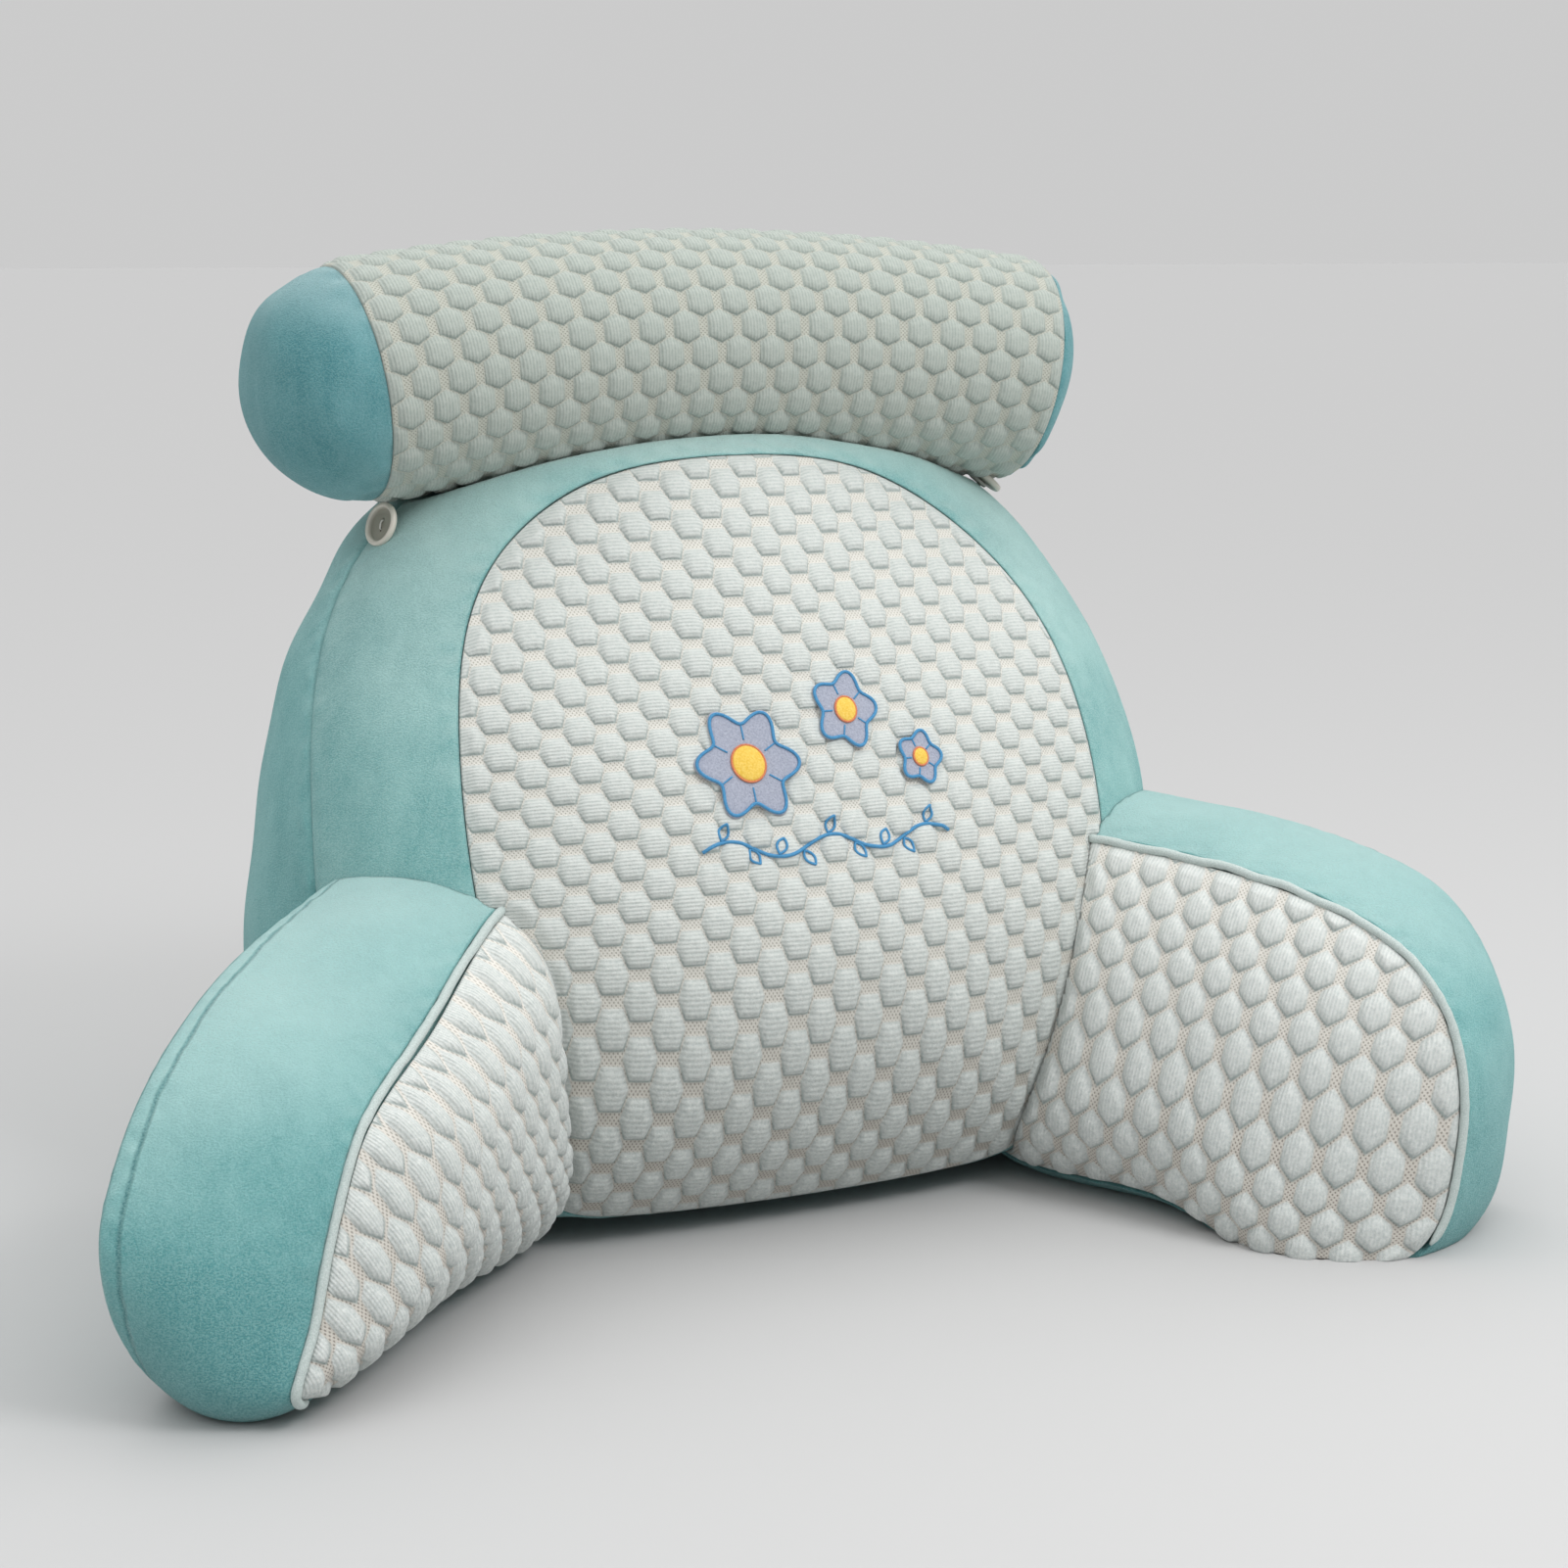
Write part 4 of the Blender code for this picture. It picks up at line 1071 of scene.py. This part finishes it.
def applique_pieces(face, name, x, z, radius, petals, depth, felt, thread, heart, heart_thread):
    """A felt flower with a stitched outline, petal lines and a round heart."""

    def outline(share, lift, count, dip):
        turns = TURN * np.arange(count) / count
        reach = radius * share * (1 - dip + dip * np.cos(petals * turns))
        return face.lifted(circle(count) * column(reach) + (x, z), FELT_BED + lift)

    def disc(part, rows, top, count, dip, look, replaced=()):
        rings = [outline(*row, count, dip) for row in rows]
        poles = [outline(0, lift, 1, dip) for lift in (rows[0][1], top)]
        mesh_piece(f"{name}_{part}", *ring_rows(rings, poles), look, replaced)

    disc("felt", FELT_ROWS, FELT, 180, depth, felt, [name])
    rim = outline(0.95, FELT + 0.0002, 360, depth)
    tube_piece(f"{name}_outline", rim, OUTLINE_RADIUS, 8, thread, closed=True)
    disc("heart", HEART_ROWS, HEART_TOP, 60, 0, heart)
    rim = outline(0.31, FELT + 0.0005, 90, 0)
    tube_piece(f"{name}_heart_outline", rim, HEART_OUTLINE_RADIUS, 8, heart_thread, closed=True)
    for k in range(petals):
        turn = TURN * (k + 0.5) / petals
        line = np.outer(radius * np.linspace(0.40, 0.64, 14), (math.cos(turn), math.sin(turn)))
        route = face.lifted(line + (x, z), FELT_BED + FELT + 0.0001)
        tube_piece(f"{name}_petal_line_{k}", route, PETAL_LINE_RADIUS, 6, thread)


def vine_line(share):
    sway = VINE_SWAY * np.sin(share * 5 * math.pi)
    return np.stack([VINE_LENGTH * share, sway], axis=-1) + VINE_START


def vine_pieces(face, look):
    """A stitched wavy stem with leaves below the flowers."""
    line = vine_line(np.linspace(0, 1, 260))
    tube_piece("vine_stem", face.lifted(line, stitched_height(line)), VINE_RADIUS, 8, look)
    cosines, sines = circle(60).T
    u = (1 - cosines) / 2 * LEAF_LENGTH
    v = sines * LEAF_WIDTH * np.sin(np.clip(u / LEAF_LENGTH, 0, 1) * math.pi) ** 0.5
    for k in range(VINE_LEAVES):
        up = 1 if k % 2 == 0 else -1
        way = math.radians(LEAF_TURN * up)
        turned = np.stack([u * math.cos(way) - v * math.sin(way),
                           u * math.sin(way) + v * math.cos(way)], axis=1)
        leaf = vine_line((k + 0.7) / 9.6) + turned + (0, LEAF_LIFT * up)
        route = face.lifted(leaf, stitched_height(leaf))
        tube_piece(f"vine_leaf_{k}", route, LEAF_RADIUS, 8, look, closed=True)


# ---- finishes


class Nodes:
    """Short ways to add nodes to a tree."""

    def __init__(self, tree):
        self.tree = tree

    def put(self, socket, value):
        if isinstance(value, bpy.types.NodeSocket):
            self.tree.links.new(value, socket)
        else:
            socket.default_value = value

    def node(self, kind, *values, **settings):
        """A new node with these settings, and with these values or sockets on its first inputs."""
        node = self.tree.nodes.new("ShaderNode" + kind)
        for key, value in settings.items():
            setattr(node, key, value)
        for socket, value in zip(node.inputs, values):
            self.put(socket, value)
        return node

    def parts(self, vector):
        return self.node("SeparateXYZ", vector).outputs

    def math(self, operation, *values):
        return self.node("Math", *values, operation=operation).outputs[0]

    def plus(self, first, last):
        return self.math("ADD", first, last)

    def minus(self, first, last):
        return self.math("SUBTRACT", first, last)

    def times(self, first, last):
        return self.math("MULTIPLY", first, last)

    def size(self, value):
        return self.math("ABSOLUTE", value)

    def wave(self, value, count):
        return self.math("SINE", self.times(value, TURN * count))

    def pick(self, chosen, first, last):
        """The first number where chosen is 0, and the last where it is 1."""
        return self.math("MULTIPLY_ADD", chosen, self.minus(last, first), first)

    def span(self, value, low, high, first=0.0, last=1.0, **settings):
        return self.node("MapRange", value, low, high, first, last, **settings).outputs[0]


class Finish(Nodes):
    """A Principled material; its tone tints every colour that it mixes."""

    def __init__(self, name, slot, roughness, tone=PLAIN, specular=0.25):
        self.material = bpy.data.materials.new(name)
        self.material.use_nodes = True
        super().__init__(self.material.node_tree)
        self.slot = slot
        self.tone = tone
        self.shader = self.tree.nodes["Principled BSDF"]
        self.set("Roughness", roughness)
        self.set("Specular IOR Level", specular)
        self.coordinates = self.node("TexCoord").outputs["Object"]

    def set(self, name, value):
        self.put(self.shader.inputs[name], value)

    def sheen(self, weight, roughness, tint):
        self.set("Sheen Weight", weight)
        self.set("Sheen Roughness", roughness)
        self.set("Sheen Tint", (*tint, 1))

    def noise(self, scale, detail=2.0, roughness=0.5, stretch=None):
        where = self.coordinates
        if stretch is not None:
            where = self.node("VectorMath", where, stretch, operation="MULTIPLY").outputs[0]
        node = self.node("TexNoise", where)
        for key, value in (("Scale", scale), ("Detail", detail), ("Roughness", roughness)):
            node.inputs[key].default_value = value
        return node.outputs[0]

    def mix(self, share, first, last, tone=None):
        node = self.node("Mix", share, data_type="RGBA")
        for socket, value in ((node.inputs[6], first), (node.inputs[7], last)):
            if not isinstance(value, bpy.types.NodeSocket):
                value = (*np.multiply(value, tone or self.tone), 1)
            self.put(socket, value)
        return node.outputs[2]

    def attribute(self, name):
        return self.parts(self.node("Attribute", attribute_name=name).outputs["Vector"])

    def bump(self, height, distance, strength, base=None):
        node = self.node("Bump")
        self.put(node.inputs["Distance"], distance)
        self.put(node.inputs["Strength"], strength)
        self.put(node.inputs["Height"], height)
        if base is not None:
            self.put(node.inputs["Normal"], base)
        return node.outputs[0]

    def done(self, colour, normal=None):
        self.set("Base Color", colour)
        if normal is not None:
            self.set("Normal", normal)
        return self


def velvet_look(name, tone=PLAIN):
    """Short turquoise pile, brushed in soft patches; painted shade low down and on left-facing sides,
    and a painted highlight on upward faces.
    """
    look = Finish(name, "velvet", 0.85, tone)
    look.sheen(0.35, 0.4, (0.80, 0.97, 0.95))
    patches = look.span(look.plus(look.noise(8), look.noise(24, 3, 0.6)), 0.74, 1.22)
    streaks = look.span(look.noise(1, 3, 0.55, (95, 95, 22)), 0.30, 0.72)
    brushed = look.plus(look.times(patches, 0.65), look.times(streaks, 0.35))
    colour = look.mix(brushed, VELVET_DEEP, VELVET_LIT)
    across, _, upward = look.parts(look.node("NewGeometry").outputs["Normal"])
    # Painted highlight: faces turned upward are mixed towards a paler colour.
    colour = look.mix(look.span(upward, 0.30, 1.0, 0.0, 0.70), colour, VELVET_PAINTED_TOP_LIGHT)
    # Painted shade: faces turned to the left, away from the key light, and everything low down near
    # the floor are mixed towards a dark teal.
    shaded = look.span(across, -0.25, -1.0, 0.0, 0.28)
    low = look.span(look.parts(look.coordinates)[2], 0.13, 0.0, 0.0, 0.78)
    colour = look.mix(look.math("MAXIMUM", shaded, low), colour, VELVET_PAINTED_SHADE, PLAIN)
    # Painted shadow along the stitched groove near an arm band's outer seam; the bump dips there too.
    wander = look.span(look.noise(45), 0.3, 0.7, -0.0007, 0.0007)
    seam = look.plus(look.attribute("edges")[0], wander)
    line = look.span(look.size(look.minus(seam, STITCH_INSET)), 0.0003, 0.0016, 1.0, 0.0)
    colour = look.mix(look.times(line, 0.75), colour, VELVET_PAINTED_GROOVE_SHADE, PLAIN)
    grain = look.noise(1, 3, 0.75, (850, 850, 1250))
    tips = look.span(grain, 0.40, 0.62)
    colour = look.mix(look.times(tips, 0.42), colour, VELVET_TIPS)
    normal = look.bump(look.minus(grain, line), 0.0017, 0.7)
    return look.done(colour, look.bump(look.noise(70), 0.0014, 0.6, normal))


def bubble_node(look, along, across, hang):
    """The same share as bubble_share, and how far it is below the bubble's middle."""
    arm = look.math("LESS_THAN", hang, HANG_ARM + 0.00001)
    longer = look.times(arm, ARM_BUBBLE)
    tip = look.plus(longer, BUBBLE_TIP)
    slant = look.plus(look.times(longer, 2.0), BUBBLE_TIP - BUBBLE_CORNER)
    slant = look.math("DIVIDE", slant, BUBBLE_SIDE)
    corner = look.math("MULTIPLY_ADD", arm, ARM_BUBBLE_BLEND, BUBBLE_BLEND)
    bubbles = []
    for shift in (0.0, 0.5):
        moved = [look.minus(value, shift) for value in (along, across)]
        away = [look.minus(value, look.math("ROUND", value)) for value in moved]
        p, q = (look.size(value) for value in away)
        width = look.math("DIVIDE", look.plus(p, look.times(q, slant)), tip)
        far = look.math("SMOOTH_MAX", width, look.math("DIVIDE", q, BUBBLE_SIDE), corner)
        is_center = look.math("GREATER_THAN", hang, 1.5)
        under = look.pick(is_center, look.times(away[0], hang), look.times(away[1], -1.0))
        bubbles.append((far, under))
    (first, first_under), (last, last_under) = bubbles
    under = look.pick(look.math("LESS_THAN", last, first), first_under, last_under)
    share = look.minus(1.0, look.math("MINIMUM", first, last))
    return share, look.span(under, -BUBBLE_REACH, BUBBLE_REACH, -1.0, 1.0)


def knit_look(name, tone):
    """Raised honeycomb bubbles with fine ribs, and an open net between them; painted shade along the
    bubbles' lower edges and towards the bottom.
    """
    look = Finish(name, "honeycomb_knit", 0.8, tone)
    look.sheen(0.12, 0.5, PLAIN)
    along, across, hang = look.attribute("quilt")
    # Painted shade: from 0.20 m down to 0.05 m in height the net, its holes and the bubbles darken
    # towards the bottom.
    painted_low_shade = look.span(look.parts(look.coordinates)[2], 0.20, 0.05)
    share, under = bubble_node(look, along, across, hang)
    bubble = look.span(share, -0.05, 0.05)
    # Painted shade in the creases below each bubble, strongest at its lower edge; the bump dips there
    # too.
    painted_crease_shade = look.span(look.size(share), 0.01, 0.11, 1.0, 0.0)
    painted_crease_shade = look.times(painted_crease_shade, look.span(under, -0.1, 0.85))
    ribs = look.span(look.wave(across, RIBS), -1, 1)
    net = look.times(look.wave(along, NET_ALONG), look.wave(across, NET_ACROSS))
    hole = look.times(look.span(net, 0.1, 0.8), look.minus(1.0, bubble))
    ground = look.mix(look.noise(260), NET_DEEP, NET_LIT)
    ground = look.mix(look.times(painted_low_shade, 0.85), ground, NET_PAINTED_LOW_SHADE)
    ground = look.mix(hole, ground, look.mix(painted_low_shade, NET_HOLE, NET_HOLE_PAINTED_LOW_SHADE))
    raised = look.mix(ribs, KNIT_DEEP, KNIT_LIT)
    raised = look.mix(look.times(painted_low_shade, 0.7), raised, KNIT_PAINTED_LOW_SHADE)
    fuzz = look.span(look.noise(520, 3, 0.75), 0.35, 0.70, 0.0, 0.55)
    colour = look.mix(bubble, ground, look.mix(fuzz, raised, KNIT_FUZZ))
    colour = look.mix(look.times(painted_crease_shade, 0.62), colour, KNIT_PAINTED_CREASE_SHADE)
    height = look.minus(look.times(look.times(ribs, bubble), 0.32), look.times(hole, 0.4))
    height = look.plus(height, look.times(look.noise(800, 3, 0.7), 0.55))
    height = look.minus(height, look.times(painted_crease_shade, 0.45))
    return look.done(colour, look.bump(height, 0.0008, 0.8))


def plain_cloth(name, slot, colour, lighter, scale=1500, distance=0.0003):
    look = Finish(name, slot, 0.85)
    grain = look.noise(scale, 2, 0.6)
    mixed = look.mix(look.span(grain, 0.3, 0.7), colour, lighter)
    return look.done(mixed, look.bump(grain, distance, 0.8))


def plastic_look():
    """A pale rim, with painted shade darkening the hollow within it."""
    look = Finish("button_plastic", "button_plastic", 0.35, specular=0.5)
    # Painted shade: inside the rim the plastic is mixed towards a dark colour.
    rim = look.span(look.attribute("edges")[0], 0.0088, 0.0098)
    return look.done(look.mix(rim, (0.33, 0.32, 0.26), (0.70, 0.66, 0.58)))


# ---- stage


def sky(tree):
    """A broad soft light overhead, dim all round, and a pale backdrop along the horizon."""
    nodes = Nodes(tree)
    height = nodes.parts(nodes.node("TexCoord").outputs["Generated"])[2]
    strength = SKY_HORIZON
    for low, high, last in SKY_STEPS:
        strength = nodes.span(height, low, high, strength, last, interpolation_type="SMOOTHSTEP")
    background = tree.nodes["Background"].inputs
    background["Color"].default_value = (1, 1, 1, 1)
    nodes.put(background["Strength"], strength)


def make_stage():
    mesh = bpy.data.meshes.new("floor")
    corners = [(x * FLOOR_REACH, y * FLOOR_REACH, 0) for x, y in ((-1, -1), (1, -1), (1, 1), (-1, 1))]
    mesh.from_pydata(corners, [], [(0, 1, 2, 3)])
    look = Finish("floor_white", "floor", 0.9)
    mesh.materials.append(look.done((*(FLOOR_TONE,) * 3, 1)).material)
    floor = bpy.data.objects.new("floor", mesh)
    world = bpy.data.worlds.new("studio")
    world.use_nodes = True
    sky(world.node_tree)
    data = bpy.data.lights.new("key", "AREA")
    data.shape = "RECTANGLE"
    data.size, data.size_y = KEY_SIZE
    data.energy = KEY_POWER
    light = bpy.data.objects.new("key", data)
    light.location = KEY_PLACE
    way = Vector(KEY_TARGET) - Vector(KEY_PLACE)
    light.rotation_euler = way.to_track_quat("-Z", "Y").to_euler()
    scene = bpy.context.scene
    scene.world = world
    scene.view_settings.view_transform = "Standard"
    for made in (floor, light):
        scene.collection.objects.link(made)


def make_camera():
    sine, cosine = math.sin(CAMERA_TURN), math.cos(CAMERA_TURN)
    low, high = math.cos(CAMERA_RISE), math.sin(CAMERA_RISE)
    back = Vector((-sine * low, -cosine * low, high))
    right = Vector((cosine, -sine, 0))
    up = back.cross(right)
    place = back * CAMERA_DISTANCE + right * CAMERA_ACROSS + up * CAMERA_UP
    place += Vector((-FOOTPRINT_MIDDLE[0], -FOOTPRINT_MIDDLE[1], CAMERA_LIFT))
    data = bpy.data.cameras.new("camera")
    data.sensor_fit = "HORIZONTAL"
    data.sensor_width = SENSOR
    data.lens = FOCAL_PIXELS * SENSOR / IMAGE_PIXELS
    data.clip_start, data.clip_end = 0.05, 200
    camera = bpy.data.objects.new("camera", data)
    bpy.context.scene.collection.objects.link(camera)
    turn = Matrix((right, up, back)).transposed().to_4x4()
    camera.matrix_world = Matrix.Translation(place) @ turn
    bpy.context.scene.camera = camera


# ---- all of it


def main():
    velvet = velvet_look("turquoise_velvet")
    # A darker, bluer copy of the velvet: painted shade on the roll's domes.
    roll_velvet_painted_shade = velvet_look("turquoise_velvet_roll_painted_shade", (0.74, 0.78, 0.84))
    # A paler copy of the velvet: painted light on the front frame band.
    frame_velvet_painted_light = velvet_look("turquoise_velvet_frame_painted_light", (1.25, 1.09, 1.07))
    knit = knit_look("honeycomb_knit", (0.905, 0.905, 0.90))
    # A lighter copy of the knit: painted light on the arm panels.
    arm_knit_painted_light = knit_look("honeycomb_knit_arms_painted_light", (1.05, 1.04, 1.04))
    # A darker copy of the knit: painted shade on the neck roll.
    roll_knit_painted_shade = knit_look("honeycomb_knit_roll_painted_shade", (0.65, 0.68, 0.645))
    welt = plain_cloth("welt_cloth", "welt_cloth", (0.42, 0.50, 0.48), (0.62, 0.69, 0.67))
    cord = plain_cloth("loop_cord", "loop_cord", (0.60, 0.60, 0.55), (0.75, 0.75, 0.70), 2000)
    appliques = (
        plain_cloth("lavender_felt", "felt", (0.31, 0.335, 0.42), (0.44, 0.465, 0.55), 900, 0.0005),
        plain_cloth("blue_thread", "felt", (0.045, 0.22, 0.45), (0.12, 0.36, 0.60), 2200),
        plain_cloth("yellow_felt", "felt", (0.80, 0.50, 0.06), (0.90, 0.65, 0.16), 900),
        plain_cloth("orange_thread", "felt", (0.62, 0.16, 0.07), (0.76, 0.30, 0.16), 2200),
    )
    shell = plastic_look()

    backrest = Backrest(480)
    arms = {name: Arm(420, *pose) for name, *pose in ARMS}
    walls = [plain_surface(arm.inner) for arm in arms.values()]
    face_height = panel_height(backrest.face, walls, center_quilt, HANG_ACROSS, CENTER_HEIGHT,
                               FLAT_EDGE, APPLIQUES)
    padded = [
        body_piece("backrest_body", backrest.face, backrest.band, backrest.back,
                   1 - np.linspace(0.012, 0.97, 52), soft_height(17, 0.0030), velvet,
                   ["backrest_cushion"],
                   backrest.side.rings(spread(44)[1:], backrest.side_height)),
        band_piece("backrest_cover_band", backrest.band, 40, backrest.band_height,
                   frame_velvet_painted_light, ["backrest_frame_band"]),
        dish_piece("backrest_quilted_panel", backrest.face, 300, face_height, BAND_GAP, knit,
                   ["backrest_center_panel"], center_quilt, HANG_ACROSS),
    ]
    for applique in APPLIQUES:
        applique_pieces(backrest.face, *applique, *appliques)
    vine_pieces(backrest.face, appliques[1])
    cutter, wall = arm_cutter(backrest, face_height)
    for name, arm in arms.items():
        padded += arm_pieces(name, arm, cutter, wall, arm_knit_painted_light, velvet, welt)[:3]
    bpy.data.objects.remove(cutter)
    padded.append(roll_piece(roll_knit_painted_shade))
    for name, side, depth in ROLL_ENDS:
        padded.append(roll_end_piece(name, side, depth, roll_velvet_painted_shade))
        button_pieces(name, *button_frame(backrest, side), shell, cord)
    make_stage()
    make_camera()


main()
